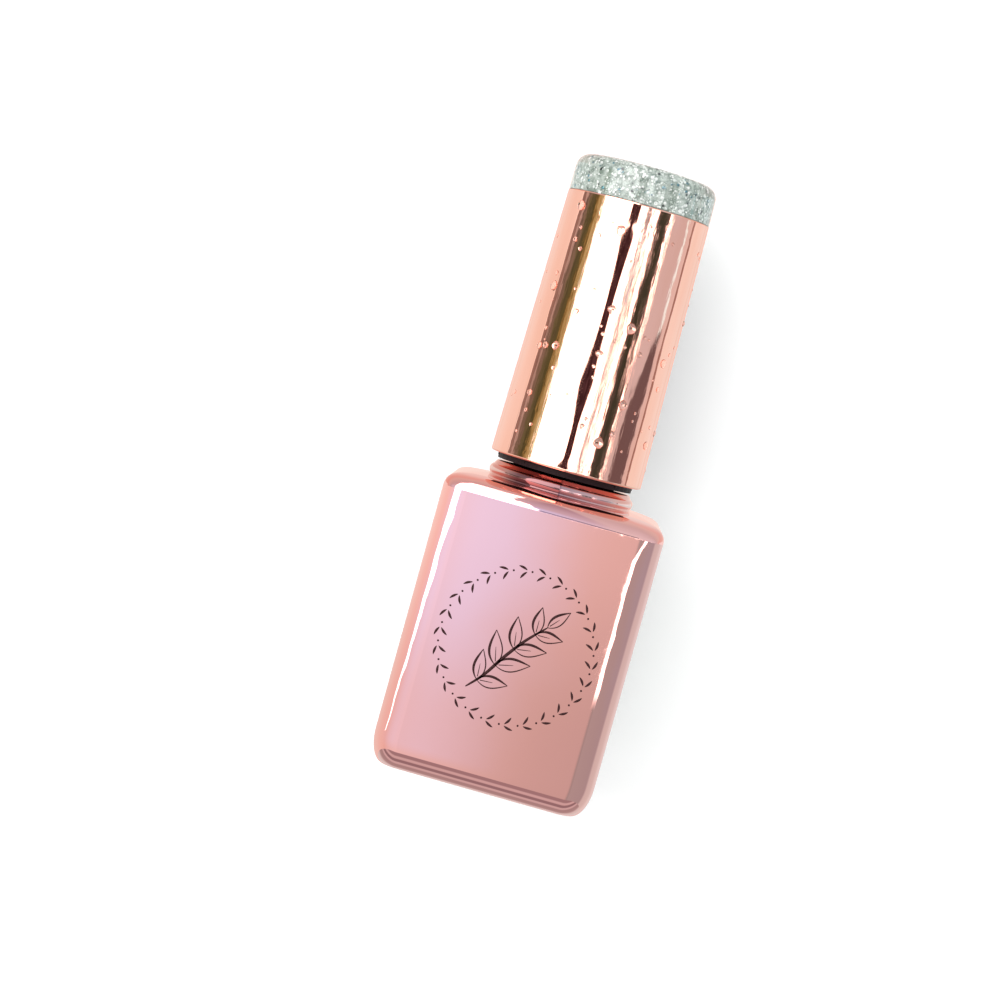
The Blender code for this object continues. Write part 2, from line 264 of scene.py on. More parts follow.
class StudioSettings(bpy.types.PropertyGroup):
    """The sheet behind the bottle and the soft light."""

    sheet_colour: bpy.props.FloatVectorProperty(
        name="Sheet",
        description="Colour of the sheet",
        default=(0.93, 0.93, 0.93),
        subtype="COLOR",
        min=0,
        max=1,
    )
    sheet_gap: bpy.props.FloatProperty(
        name="Sheet gap",
        description="Gap between the bottle's back and the sheet",
        default=0.4 * MM,
        unit="LENGTH",
    )
    room_light: bpy.props.FloatProperty(
        name="Room light", description="Even light on matt surfaces", default=0.93, min=0
    )
    lamp_light: bpy.props.FloatProperty(
        name="Lamp", description="Strength of the soft lamp from the left", default=0.75, min=0
    )


# ---------------------------------------------------------------- node trees


class Tree:
    """Adds nodes to one node tree. A value is a number, a tuple or another node's output."""

    # A Mix node's colour sockets share their names with others, so they go by number.
    mix_first, mix_second, mix_result = 6, 7, 2

    def __init__(self, tree):
        self.tree = tree

    def put(self, socket, value):
        """Links an output to a socket, or sets the socket's own value."""
        if isinstance(value, bpy.types.NodeSocket):
            self.tree.links.new(value, socket)
        elif isinstance(value, tuple) and len(value) == 3 and len(socket.default_value) == 4:
            socket.default_value = (*value, 1.0)
        else:
            socket.default_value = value

    def add(self, kind, settings=None, **inputs):
        """A new node. Input names take _ for a space."""
        node = self.tree.nodes.new("ShaderNode" + kind)
        for name, value in (settings or {}).items():
            setattr(node, name, value)
        for name, value in inputs.items():
            self.put(node.inputs[name.replace("_", " ")], value)
        return node

    def maths(self, operation, *values):
        node = self.add("Math", {"operation": operation})
        for socket, value in zip(node.inputs, values):
            self.put(socket, value)
        return node.outputs[0]

    def between(self, value, low, high, to_low=0.0, to_high=1.0, smooth=True):
        """Value mapped from low..high to to_low..to_high, held at both ends."""
        kind = "SMOOTHSTEP" if smooth else "LINEAR"
        node = self.add("MapRange", {"interpolation_type": kind})
        sockets = ("Value", "From Min", "From Max", "To Min", "To Max")
        for name, given in zip(sockets, (value, low, high, to_low, to_high)):
            self.put(node.inputs[name], given)
        return node.outputs["Result"]

    def blend(self, share, first, second, kind="MIX"):
        """A share of the way from the first colour to the second."""
        node = self.add("Mix", {"data_type": "RGBA", "blend_type": kind, "clamp_factor": True})
        self.put(node.inputs["Factor"], share)
        self.put(node.inputs[self.mix_first], first)
        self.put(node.inputs[self.mix_second], second)
        return node.outputs[self.mix_result]

    def shaded(self, colour, level):
        """A colour times a level."""
        return self.blend(1.0, colour, self.joined(level, level, level), "MULTIPLY")

    def ramp(self, value, stops, interpolation="LINEAR"):
        """A colour ramp from (place, colour) stops, with places from 0 to 1."""
        node = self.add("ValToRGB")
        node.color_ramp.interpolation = interpolation
        elements = node.color_ramp.elements
        while len(elements) < len(stops):
            elements.new(0.5)
        for element, (place, colour) in zip(elements, stops):
            element.position = place
            element.color = (*colour, 1.0)
        self.put(node.inputs["Fac"], value)
        return node.outputs["Color"]

    def noise(self, place, scale, detail=2.0):
        return self.add("TexNoise", Scale=scale, Detail=detail, Vector=place).outputs["Fac"]

    def joined(self, x, y, z):
        return self.add("CombineXYZ", X=x, Y=y, Z=z).outputs[0]

    def split(self, vector):
        node = self.add("SeparateXYZ", Vector=vector)
        return node.outputs["X"], node.outputs["Y"], node.outputs["Z"]


def node_group(name, inputs, outputs):
    """A new shader node group with float or colour sockets, and its input and output nodes."""
    group = bpy.data.node_groups.new(name, "ShaderNodeTree")
    for direction, sockets in (("INPUT", inputs), ("OUTPUT", outputs)):
        for socket_name, default in sockets.items():
            kind = "NodeSocketColor" if isinstance(default, tuple) else "NodeSocketFloat"
            socket = group.interface.new_socket(name=socket_name, in_out=direction, socket_type=kind)
            socket.default_value = (*default, 1.0) if isinstance(default, tuple) else default
    return Tree(group), group.nodes.new("NodeGroupInput"), group.nodes.new("NodeGroupOutput")


def object_place(tree):
    """Object coordinates in millimetres."""
    place = tree.add("TexCoord").outputs["Object"]
    scaled = tree.add("VectorMath", {"operation": "SCALE"}, Vector=place, Scale=1 / MM)
    return scaled.outputs["Vector"]


def build_handling_marks():
    """Faint smears and hairlines on polished surfaces: a changing roughness and a height."""
    tree, given, result = node_group(
        "handling_marks",
        {"Roughness": 0.05, "Spread": 0.05, "Scale": 0.3},
        {"Roughness": 0.05, "Height": 0.0},
    )
    hairline_squeeze = 9.0  # hairlines run upright, so the noise is this much finer across them
    place = object_place(tree)
    smears = tree.noise(place, given.outputs["Scale"], 4.0)
    x, y, z = tree.split(place)
    fine_x = tree.maths("MULTIPLY", x, hairline_squeeze)
    fine_y = tree.maths("MULTIPLY", y, hairline_squeeze)
    hairlines = tree.noise(tree.joined(fine_x, fine_y, z), 1.2, 3.0)
    mask = tree.maths("MULTIPLY", tree.between(smears, 0.42, 0.72), tree.between(hairlines, 0.35, 0.75))
    rough = tree.maths("MULTIPLY_ADD", mask, given.outputs["Spread"], given.outputs["Roughness"])
    tree.put(result.inputs["Roughness"], rough)
    tree.put(result.inputs["Height"], tree.noise(place, 0.6, 1.0))
    return tree.tree


def build_moulded_grain():
    """Fine grain of moulded or pressed matter: a tinted colour and a height."""
    tree, given, result = node_group(
        "moulded_grain",
        {"Colour": (0.5, 0.5, 0.5), "Scale": 8.0, "Variation": 0.2},
        {"Colour": (0.5, 0.5, 0.5), "Height": 0.0},
    )
    grain = tree.noise(object_place(tree), given.outputs["Scale"], 4.0)
    level = tree.maths("MULTIPLY_ADD", tree.maths("SUBTRACT", grain, 0.5), given.outputs["Variation"], 1.0)
    tree.put(result.inputs["Colour"], tree.shaded(given.outputs["Colour"], level))
    tree.put(result.inputs["Height"], grain)
    return tree.tree


def build_glitter_specks():
    """Round specks of a few sizes over a mottled ground: a colour and a mask."""
    tree, given, result = node_group(
        "glitter_specks",
        {"Ground": (0.4, 0.48, 0.42), "Speck": (0.9, 0.95, 0.92), "Size": 1.0},
        {"Colour": (0.5, 0.5, 0.5), "Mask": 0.0},
    )
    layers = ((2.1, 0.20), (3.6, 0.26), (6.5, 0.30))  # cells in a millimetre, and the largest speck in cells
    speck_edge = (-0.03, 0.04)
    place = object_place(tree)
    mottle = tree.noise(place, 1.1, 3.0)
    deep = tree.blend(1.0, given.outputs["Ground"], (0.55, 0.60, 0.58), "MULTIPLY")
    pale = tree.blend(0.35, given.outputs["Ground"], given.outputs["Speck"])
    ground = tree.blend(tree.between(mottle, 0.35, 0.68), deep, pale)
    mask = None
    for scale, largest in layers:
        cell_scale = tree.maths("MULTIPLY", given.outputs["Size"], scale)
        cells = tree.add("TexVoronoi", Vector=place, Scale=cell_scale)
        chance = tree.split(cells.outputs["Color"])[0]
        speck_radius = tree.maths("MULTIPLY", chance, largest)
        spot = tree.between(tree.maths("SUBTRACT", speck_radius, cells.outputs["Distance"]), *speck_edge)
        mask = spot if mask is None else tree.maths("MAXIMUM", mask, spot)
    tree.put(result.inputs["Colour"], tree.blend(mask, ground, given.outputs["Speck"]))
    tree.put(result.inputs["Mask"], mask)
    return tree.tree


def effect(tree, builder, **inputs):
    """A node of a shared group, which is built the first time that it is needed."""
    name = builder.__name__.removeprefix("build_")
    node = tree.add("Group")
    node.node_tree = bpy.data.node_groups.get(name) or builder()
    for socket, value in inputs.items():
        tree.put(node.inputs[socket.replace("_", " ")], value)
    return node


def new_material(name, **inputs):
    """A material with a Principled shader. Input names take _ for a space."""
    material = bpy.data.materials.new(name)
    material.use_nodes = True
    tree = Tree(material.node_tree)
    shader = material.node_tree.nodes["Principled BSDF"]
    for socket, value in inputs.items():
        tree.put(shader.inputs[socket.replace("_", " ")], value)
    return material, tree, shader


def bump(tree, shader, height, depth_microns, strength):
    node = tree.add("Bump", Height=height, Distance=depth_microns * MICRON, Strength=strength)
    tree.put(shader.inputs["Normal"], node.outputs["Normal"])


def marked(tree, shader, roughness, spread, scale):
    """Gives a shader the handling marks' roughness, and returns their node."""
    marks = effect(tree, build_handling_marks, Roughness=roughness, Spread=spread, Scale=scale)
    tree.put(shader.inputs["Roughness"], marks.outputs["Roughness"])
    return marks


# ---------------------------------------------------------------- materials


# The collar's painted shade and painted reflections, as colours from its left side to its right side.
COLLAR_PAINTED_LIGHT = (
    (0.0, (0.85, 0.50, 0.44)),
    (0.10, (0.74, 0.42, 0.38)),
    (0.22, (0.26, 0.12, 0.12)),
    (0.496, (0.15, 0.08, 0.085)),
    (0.499, (0.48, 0.28, 0.29)),
    (0.75, (0.72, 0.42, 0.41)),
    (1.0, (0.88, 0.60, 0.55)),
)
COLLAR_PAINTED_LIGHT_REACH = NECK_RADIUS * 1.6  # half the width that the painted shade and reflections are spread over
COLLAR_PAINTED_LIGHT_FOOT = (40.3, 40.5)


def rose_mirror_coat(settings):
    """Vacuum-metallised coat on the glass, pearly on one side of the front and back panels, with painted
    shade and painted reflections on its collar.
    """
    material, tree, shader = new_material("rose_mirror_coat", Metallic=1.0)
    place = object_place(tree)
    geometry = tree.add("NewGeometry")
    x, y, z = tree.split(place)
    nx, ny, nz = tree.split(geometry.outputs["Normal"])

    # How far along its panel a point is, from -1 at the left edge to 1 at the right one.
    along = tree.maths("SUBTRACT", tree.maths("MULTIPLY", y, nx), tree.maths("MULTIPLY", x, ny))
    along = tree.maths("DIVIDE", along, BODY_HALF)

    # The pearl fades across the panel along a slanting, cloudy line, and towards the heel and the edge.
    panel_middle, slant, cloudiness = 22.0, -0.008, 0.6
    cloud = tree.noise(place, 0.09, 2.0)
    lean = tree.maths("MULTIPLY_ADD", tree.maths("SUBTRACT", z, panel_middle), slant, along)
    lean = tree.maths("MULTIPLY_ADD", tree.maths("SUBTRACT", cloud, 0.5), cloudiness, lean)
    pearly = tree.between(lean, 0.6, -0.6)
    pearly = tree.maths("MULTIPLY", pearly, tree.between(z, 8.0, 25.0, 0.5, 1.0))
    pearly = tree.maths("MULTIPLY", pearly, tree.between(along, -0.9, -0.55, 0.7, 1.0))
    facing = tree.between(tree.maths("ABSOLUTE", ny), 0.7, 1.0, 0.1, 1.0)
    upright = tree.between(tree.maths("ABSOLUTE", nz), 0.3, 0.05)
    share = tree.maths("MULTIPLY", pearly, tree.maths("MULTIPLY", upright, facing))
    tone = tree.blend(share, tuple(settings.coat_colour), tuple(settings.pearl_colour))

    # Painted shade: the collar's colour is darkened as if it sat in the cap's shade, with paler painted
    # reflections towards its sides.
    collar_side = tree.between(x, -COLLAR_PAINTED_LIGHT_REACH, COLLAR_PAINTED_LIGHT_REACH, smooth=False)
    collar_painted_light = tree.ramp(collar_side, COLLAR_PAINTED_LIGHT)
    tone = tree.blend(tree.between(z, *COLLAR_PAINTED_LIGHT_FOOT), tone, collar_painted_light)
    tree.put(shader.inputs["Base Color"], tone)
    marks = marked(tree, shader, 0.008, 0.014, 0.2)
    bump(tree, shader, marks.outputs["Height"], 2, 0.2)
    return material


def rose_mirror_shell(settings):
    """Bright rose-gold mirror of the sleeve, with faint upright streaks of a deeper tone."""
    material, tree, shader = new_material("rose_mirror_shell", Metallic=1.0)
    marks = marked(tree, shader, 0.025, 0.06, 0.25)
    x, y, z = tree.split(object_place(tree))
    streaks = tree.noise(tree.joined(x, y, tree.maths("MULTIPLY", z, 0.15)), 0.35, 3.0)
    tone = tuple(settings.sleeve_colour)
    deeper = tuple(value * share for value, share in zip(tone, (0.97, 0.93, 0.90)))
    tree.put(shader.inputs["Base Color"], tree.blend(tree.between(streaks, 0.35, 0.7), tone, deeper))
    bump(tree, shader, marks.outputs["Height"], 4, 0.2)
    return material


def clear_glass():
    """Bare glass of the neck and the cavity, with faint mould ripples."""
    material, tree, shader = new_material(
        "clear_glass", Base_Color=(0.97, 0.99, 0.98), Metallic=0.0, Transmission_Weight=1.0, IOR=1.5
    )
    marks = marked(tree, shader, 0.01, 0.05, 0.5)
    bump(tree, shader, marks.outputs["Height"], 30, 0.3)
    return material


def water():
    """Clear water with a faintly uneven surface."""
    material, tree, shader = new_material(
        "water", Base_Color=(1.0, 1.0, 1.0), Metallic=0.0, Transmission_Weight=1.0, IOR=1.33, Roughness=0.0
    )
    bump(tree, shader, tree.noise(object_place(tree), 2.0, 1.0), 10, 0.2)
    return material


def print_ink():
    """Dark brown-black ink, slightly uneven."""
    material, tree, shader = new_material("print_ink", Specular_IOR_Level=0.08)
    grain = effect(tree, build_moulded_grain, Colour=linear((58, 34, 34)), Scale=3.0, Variation=1.2)
    tree.put(shader.inputs["Base Color"], grain.outputs["Colour"])
    marked(tree, shader, 0.35, 0.2, 1.5)
    return material


def sage_resin(settings):
    """The ground of the end cap, mottled and full of small specks."""
    material, tree, shader = new_material("sage_resin", Specular_IOR_Level=0.4)
    ground, speck = tuple(settings.resin_colour), linear((236, 242, 238))
    specks = effect(tree, build_glitter_specks, Ground=ground, Speck=speck, Size=1.0)
    tree.put(shader.inputs["Base Color"], specks.outputs["Colour"])
    tree.put(shader.inputs["Roughness"], tree.between(specks.outputs["Mask"], 0.0, 1.0, 0.55, 0.3))
    bump(tree, shader, specks.outputs["Mask"], 40, 0.6)
    return material


def flake_foil(name, colour, other, metallic, roughness):
    """One kind of glitter flake. Each flake has its own tone between two colours."""
    material, tree, shader = new_material(name, Metallic=metallic)
    chance = tree.add("NewGeometry").outputs["Random Per Island"]
    tree.put(shader.inputs["Base Color"], tree.blend(chance, linear(colour), linear(other)))
    marked(tree, shader, roughness, 0.15, 3.0)
    return material


def clear_gloss():
    """Thin clear top coat: nothing but a reflection that grows towards the edges."""
    material, tree, shader = new_material("clear_gloss", Base_Color=(1.0, 1.0, 1.0), Metallic=1.0)
    marked(tree, shader, 0.02, 0.05, 0.4)
    outer_side = tree.maths("SUBTRACT", 1.0, tree.add("NewGeometry").outputs["Backfacing"])
    mirror_share = tree.add("Fresnel", IOR=1.62).outputs["Fac"]
    tree.put(shader.inputs["Alpha"], tree.maths("MULTIPLY", mirror_share, outer_side))
    return material


def moulded_plastic(name, colour, roughness, grain_scale=6.0, variation=0.5, coat=0.0, shine=0.5):
    """Moulded or pressed matter with a fine grain, plain or with some gloss over it."""
    material, tree, shader = new_material(
        name, Coat_Weight=coat, Coat_Roughness=0.08, Specular_IOR_Level=shine
    )
    grain = effect(tree, build_moulded_grain, Colour=linear(colour), Scale=grain_scale, Variation=variation)
    marked(tree, shader, roughness, 0.18, 0.5)
    tree.put(shader.inputs["Base Color"], grain.outputs["Colour"])
    bump(tree, shader, grain.outputs["Height"], 20, 0.4)
    return material


def polished_steel():
    """Bright steel with a slightly patchy tone."""
    material, tree, shader = new_material("polished_steel", Metallic=1.0)
    marks = marked(tree, shader, 0.06, 0.12, 1.0)
    grain = effect(tree, build_moulded_grain, Colour=(0.62, 0.62, 0.63), Scale=2.0, Variation=0.25)
    tree.put(shader.inputs["Base Color"], grain.outputs["Colour"])
    bump(tree, shader, marks.outputs["Height"], 10, 0.3)
    return material


def glitter_gel():
    """The filling: a thick sage gel with suspended glitter."""
    material, tree, shader = new_material("glitter_gel", Roughness=0.12, Coat_Weight=0.6, Coat_Roughness=0.03)
    ground, speck = linear((160, 178, 165)), linear((228, 236, 230))
    specks = effect(tree, build_glitter_specks, Ground=ground, Speck=speck, Size=0.8)
    tree.put(shader.inputs["Base Color"], specks.outputs["Colour"])
    bump(tree, shader, specks.outputs["Mask"], 30, 0.5)
    return material


def nylon_bristle():
    """Dark brown nylon, paler towards the worn tips, with a different tone on each bristle."""
    worn_length, worn_share = 3.0, 0.45
    material, tree, shader = new_material("nylon_bristle", Roughness=0.35, Specular_IOR_Level=0.6)
    height = tree.split(object_place(tree))[2]
    tips = tree.between(height, TUFT_TIP, TUFT_TIP + worn_length, 1.0, 0.0)
    chance = tree.add("NewGeometry").outputs["Random Per Island"]
    strand = tree.blend(chance, linear((52, 36, 32)), linear((92, 66, 56)))
    tone = tree.blend(tree.maths("MULTIPLY", tips, worn_share), strand, linear((150, 126, 112)))
    tree.put(shader.inputs["Base Color"], tone)
    return material


# ---------------------------------------------------------------- shapes


def arc(centre_r, centre_z, radius_r, radius_z, start, end, steps):
    """Points (r, z) on an ellipse's arc, angles in degrees from +r towards +z."""
    points = []
    for i in range(steps + 1):
        angle = math.radians(start + (end - start) * i / steps)
        points.append((centre_r + radius_r * math.cos(angle), centre_z + radius_z * math.sin(angle)))
    return points


def catmull_rom(a, b, c, d, t):
    """The value t of the way from b to c, on a curve that comes from a and goes on to d."""
    slope = c - a
    bend = 2 * a - 5 * b + 4 * c - d
    twist = 3 * b - a - 3 * c + d
    return 0.5 * (2 * b + slope * t + bend * t * t + twist * t**3)


def smooth_through(points, steps):
    """A Catmull-Rom curve through points of any number of values."""
    made = []
    padded = [points[0], *points, points[-1]]
    for four in zip(padded, padded[1:], padded[2:], padded[3:]):
        for i in range(steps):
            made.append(tuple(catmull_rom(*values, i / steps) for values in zip(*four)))
    made.append(tuple(points[-1]))
    return made


def cap_radius(z):
    """The cap's outer radius at a height."""
    rim = bpy.context.scene.polish_cap.rim_radius / MM
    return rim - CAP_TAPER * (z - CAP_RIM)


def gap_corners(low, high, i):
    """The corners of one face between two rings, either of which may be a pole."""
    if len(low) == 1:
        return low[0], high[i], high[i - 1]
    if len(high) == 1:
        return low[i - 1], low[i], high[0]
    return low[i - 1], low[i], high[i], high[i - 1]


def skin(shape, rings, loop=False):
    """Joins rings of points into a skin. A ring of one point is a pole. Returns the faces of each gap."""
    vertices = [[shape.verts.new(point) for point in ring] for ring in rings]
    pairs = list(zip(vertices, vertices[1:]))
    if loop:
        pairs.append((vertices[-1], vertices[0]))
    gaps = []
    for low, high in pairs:
        count = max(len(low), len(high))
        gaps.append([shape.faces.new(gap_corners(low, high, i)) for i in range(count)])
    return gaps


def turned_rings(profile, steps):
    """A ring of points for each (r, z) of a profile, or a pole where it meets the axis."""
    turns = [2 * math.pi * i / steps for i in range(steps)]
    rings = []
    for r, z in profile:
        if r < ON_AXIS:
            rings.append([(0.0, 0.0, z)])
        else:
            rings.append([(r * math.cos(a), r * math.sin(a), z) for a in turns])
    return rings


def piece_from(name, shape, materials, body, slot=None, replaces=(), sharp=SHARP_ANGLE):
    """A new object on a body, from a bmesh in millimetres."""
    bmesh.ops.recalc_face_normals(shape, faces=shape.faces)
    bmesh.ops.scale(shape, vec=(MM, MM, MM), verts=shape.verts)
    mesh = bpy.data.meshes.new(name)
    shape.to_mesh(mesh)
    shape.free()
    mesh.shade_smooth()
    if sharp:
        mesh.set_sharp_from_angle(angle=sharp)
    for material in materials:
        mesh.materials.append(material)
    obj = bpy.data.objects.new(name, mesh)
    bpy.context.scene.collection.objects.link(obj)
    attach(obj, body)
    if replaces:
        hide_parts(*replaces)
    return obj


def turned_piece(name, profile, materials, body, steps=192, loop=False, **told):
    """A piece turned from a profile of (r, z) points."""
    shape = bmesh.new()
    skin(shape, turned_rings(profile, steps), loop)
    return piece_from(name, shape, materials, body, **told)


def keep_off_the_sheet(obj):
    """Stops a mirror from throwing its own tint onto the pale sheet."""
    obj.visible_diffuse = False


def finish_node(node, material):
    """Gives a CAD node its material. Its mesh stays as it is."""
    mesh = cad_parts[node].data
    mesh.materials.clear()
    mesh.materials.append(material)


# ---------------------------------------------------------------- the glass


def corner_bearings(half, corner, panel_steps=10, corner_steps=16):
    """Bearings round a rounded square, close together along its corners."""
    core = half - corner
    start = math.atan2(core, half)
    beside = start * 0.985  # one more bearing on the panel, close to where the corner starts
    quarter = [start * i / panel_steps for i in range(panel_steps)]
    quarter.append(beside)
    for i in range(corner_steps + 1):
        turn = math.pi / 2 * i / corner_steps
        quarter.append(math.atan2(core + corner * math.sin(turn), core + corner * math.cos(turn)))
    quarter.append(math.pi / 2 - beside)
    quarter += [math.pi / 2 - start * (panel_steps - i) / panel_steps for i in range(1, panel_steps)]
    return [side * math.pi / 2 + bearing for side in range(4) for bearing in quarter]


def reach(half, corner, angle):
    """How far a rounded square's edge lies from its centre at a bearing."""
    across, up = abs(math.cos(angle)), abs(math.sin(angle))
    core = half - corner
    if up * half <= core * across:
        return half / across
    if across * half <= core * up:
        return half / up
    along = core * (across + up)
    return along + math.sqrt(max(0.0, along * along - 2 * core * core + corner * corner))


def thread_height(bearing, z):
    """How far the screw thread stands out of the neck at a bearing and height."""
    least_fade, fade_rate = 0.2, 6  # the ridge rises from this share of its size over a sixth of a turn
    tallest = 0.0
    for turn in range(math.ceil(THREAD_TURNS)):
        along = bearing / (2 * math.pi) + turn
        from_end = min(along, THREAD_TURNS - along)
        fade = min(1.0, least_fade + (1 - least_fade) * from_end * fade_rate)
        ridge = RIDGE_RADIUS * fade
        off = z - (THREAD_START + PITCH * along)
        if abs(off) < ridge:
            tallest = max(tallest, math.sqrt(ridge * ridge - off * off))
    return tallest


class GlassRings:
    """The rings of the glass, from the foot's recess over the outside, the lip and the bore to the floor."""

    def __init__(self, settings):
        self.half = settings.body_half / MM
        self.edge = settings.edge_radius / MM
        self.bearings = corner_bearings(self.half, self.edge)
        self.rings = []

    def section(self, half, corner, z):
        """A rounded square."""
        ring = []
        for bearing in self.bearings:
            distance = reach(half, corner, bearing)
            ring.append((distance * math.cos(bearing), distance * math.sin(bearing), z))
        self.rings.append(ring)

    def circles(self, profile):
        """A circle for each radius and height."""
        for radius, z in profile:
            self.section(radius, radius, z)

    def threaded(self, z):
        """A ring of the neck with the thread on it."""
        ring = []
        for bearing in self.bearings:
            radius = NECK_RADIUS + thread_height(bearing, z)
            ring.append((radius * math.cos(bearing), radius * math.sin(bearing), z))
        self.rings.append(ring)

    def outside(self):
        """The recess, the heel, the panels, the shoulder, the collar and the coated part of the neck."""
        wall = RECESS_RADIUS - RECESS_ROUND
        rounding = RECESS_ROUND, RECESS_ROUND
        self.rings.append([(0.0, 0.0, RECESS_DEPTH)])
        self.circles(((4.0, RECESS_DEPTH), (wall, RECESS_DEPTH)))
        self.circles(arc(wall, RECESS_DEPTH - RECESS_ROUND, *rounding, 90, 0, 3)[1:])
        self.circles(arc(RECESS_RADIUS + RECESS_ROUND, RECESS_ROUND, *rounding, 180, 270, 3))
        for half, z in arc(self.half - HEEL_IN, HEEL_UP, HEEL_IN, HEEL_UP, -90, 0, 20):
            self.section(half, self.edge - HEEL_EDGE_SHARE * (self.half - half), z)
        for z in PANEL_RINGS:
            self.section(self.half, self.edge, z)
        # Three rings close together keep the panels flat right up to the shoulder.
        shoulder_z, gap, lean = SHOULDER[0][2], 0.01, 0.0013
        self.section(self.half, self.edge, shoulder_z - gap)
        self.section(self.half, self.edge, shoulder_z)
        self.section(self.half - lean, self.edge, shoulder_z + gap)
        for half, corner, z in smooth_through(SHOULDER, 7)[1:]:
            self.section(half, min(half, corner), z)
        self.circles(COLLAR_FOOT)
        bead_core = COLLAR_BEAD_RADIUS - COLLAR_BEAD_ROUND
        self.circles(arc(bead_core, COLLAR_BEAD_Z, COLLAR_BEAD_ROUND, COLLAR_BEAD_ROUND, -45, 65, 16))
        self.circles((*COLLAR_RIM, *NECK_FOOT, (NECK_RADIUS, COAT_TOP)))

    def inside(self):
        """The bare neck with its thread, the lip, the bore and the cavity down to its floor."""
        low = THREAD_START - RIDGE_RADIUS - THREAD_MARGIN
        top = THREAD_START + PITCH * THREAD_TURNS + RIDGE_RADIUS
        for i in range(THREAD_RINGS + 1):
            self.threaded(low + (top + THREAD_MARGIN - low) * i / THREAD_RINGS)
        outer, inner, floor = LIP_OUTER_ROUND, LIP_INNER_ROUND, FLOOR_ROUND
        self.circles(arc(NECK_RADIUS - outer, LIP_Z - outer, outer, outer, 0, 90, 6))
        self.circles(arc(BORE_RADIUS + inner, LIP_Z - inner, inner, inner, 90, 180, 6))
        self.circles(((BORE_RADIUS, BORE_FOOT),))
        for half, corner, z in (*CAVITY_SHOULDER, (CAVITY_HALF, CAVITY_EDGE, CAVITY_TOP)):
            self.section(half, corner, z)
        for half, z in arc(CAVITY_HALF - floor, FLOOR_Z + floor, floor, floor, 0, -90, 6):
            self.section(half, CAVITY_EDGE, z)
        self.rings.append([(0.0, 0.0, FLOOR_Z)])


class POLISHBOTTLE_OT_glass(bpy.types.Operator):
    """Build the square glass bottle with its mirror coat, collar, threaded neck and foot recess"""

    bl_idname = "polish_bottle.glass"
    bl_label = "Glass Bottle"

    def execute(self, context):
        settings = context.scene.polish_glass
        glass = GlassRings(settings)
        glass.outside()
        coated = len(glass.rings) - 1
        glass.inside()
        shape = bmesh.new()
        gaps = skin(shape, glass.rings)
        for faces in gaps[coated:]:
            for face in faces:
                face.material_index = 1
        glass_bottle = piece_from(
            "glass_bottle",
            shape,
            (rose_mirror_coat(settings), clear_glass()),
            "bottle",
            slot="rose_metallised_glass",
            replaces=("bottle_glass",),
        )
        keep_off_the_sheet(glass_bottle)
        return {"FINISHED"}


# ---------------------------------------------------------------- the print


def stroke(shape, points, widths, depth):
    """A flat ribbon of ink along (x, z) points, as wide as widths says at each of them."""
    last = None
    for i, (x, z) in enumerate(points):
        before, after = points[max(i - 1, 0)], points[min(i + 1, len(points) - 1)]
        run = Vector((after[0] - before[0], after[1] - before[1])).normalized()
        side = Vector((-run.y, run.x)) * widths[i] / 2
        pair = (
            shape.verts.new((x + side.x, depth, z + side.y)),
            shape.verts.new((x - side.x, depth, z - side.y)),
        )
        if last:
            shape.faces.new((last[0], last[1], pair[1], pair[0]))
        last = pair


def swelling(count, thin, thick, power=1.0):
    """Widths that swell from thin to thick and back."""
    return [thin + (thick - thin) * math.sin(math.pi * i / (count - 1)) ** power for i in range(count)]


def leaf(shape, x, z, heading, length, width, depth):
    """A slender, slightly bent leaf with its foot at (x, z)."""
    steps = 9
    bend = 0.25
    points = []
    for i in range(steps):
        along = length * i / (steps - 1)
        turn = heading + bend * i / (steps - 1)
        points.append((x + along * math.cos(turn), z + along * math.sin(turn)))
    stroke(shape, points, swelling(steps, 0.04, width, 0.8), depth)


def open_leaf(shape, x, z, heading, length, fullness, depth):
    """A leaf's outline, one side drawn thicker than the other, with a short rib."""
    steps = 22
    belly, narrowing = 0.85, 0.25  # the belly lies near the leaf's foot, and the leaf narrows to its tip
    for side, thick in ((1, 0.34), (-1, 0.17)):
        points = []
        for i in range(steps):
            share = i / (steps - 1)
            out = side * fullness * length * math.sin(math.pi * share**belly) * (1 - narrowing * share)
            along = length * share
            point_x = x + along * math.cos(heading) - out * math.sin(heading)
            point_z = z + along * math.sin(heading) + out * math.cos(heading)
            points.append((point_x, point_z))
        stroke(shape, points, swelling(steps, 0.09, thick), depth)
    rib = []
    for share in (0.1, 0.25, 0.4, 0.52):
        rib.append((x + length * share * math.cos(heading), z + length * share * math.sin(heading)))
    stroke(shape, rib, (0.12, 0.11, 0.09, 0.05), depth)


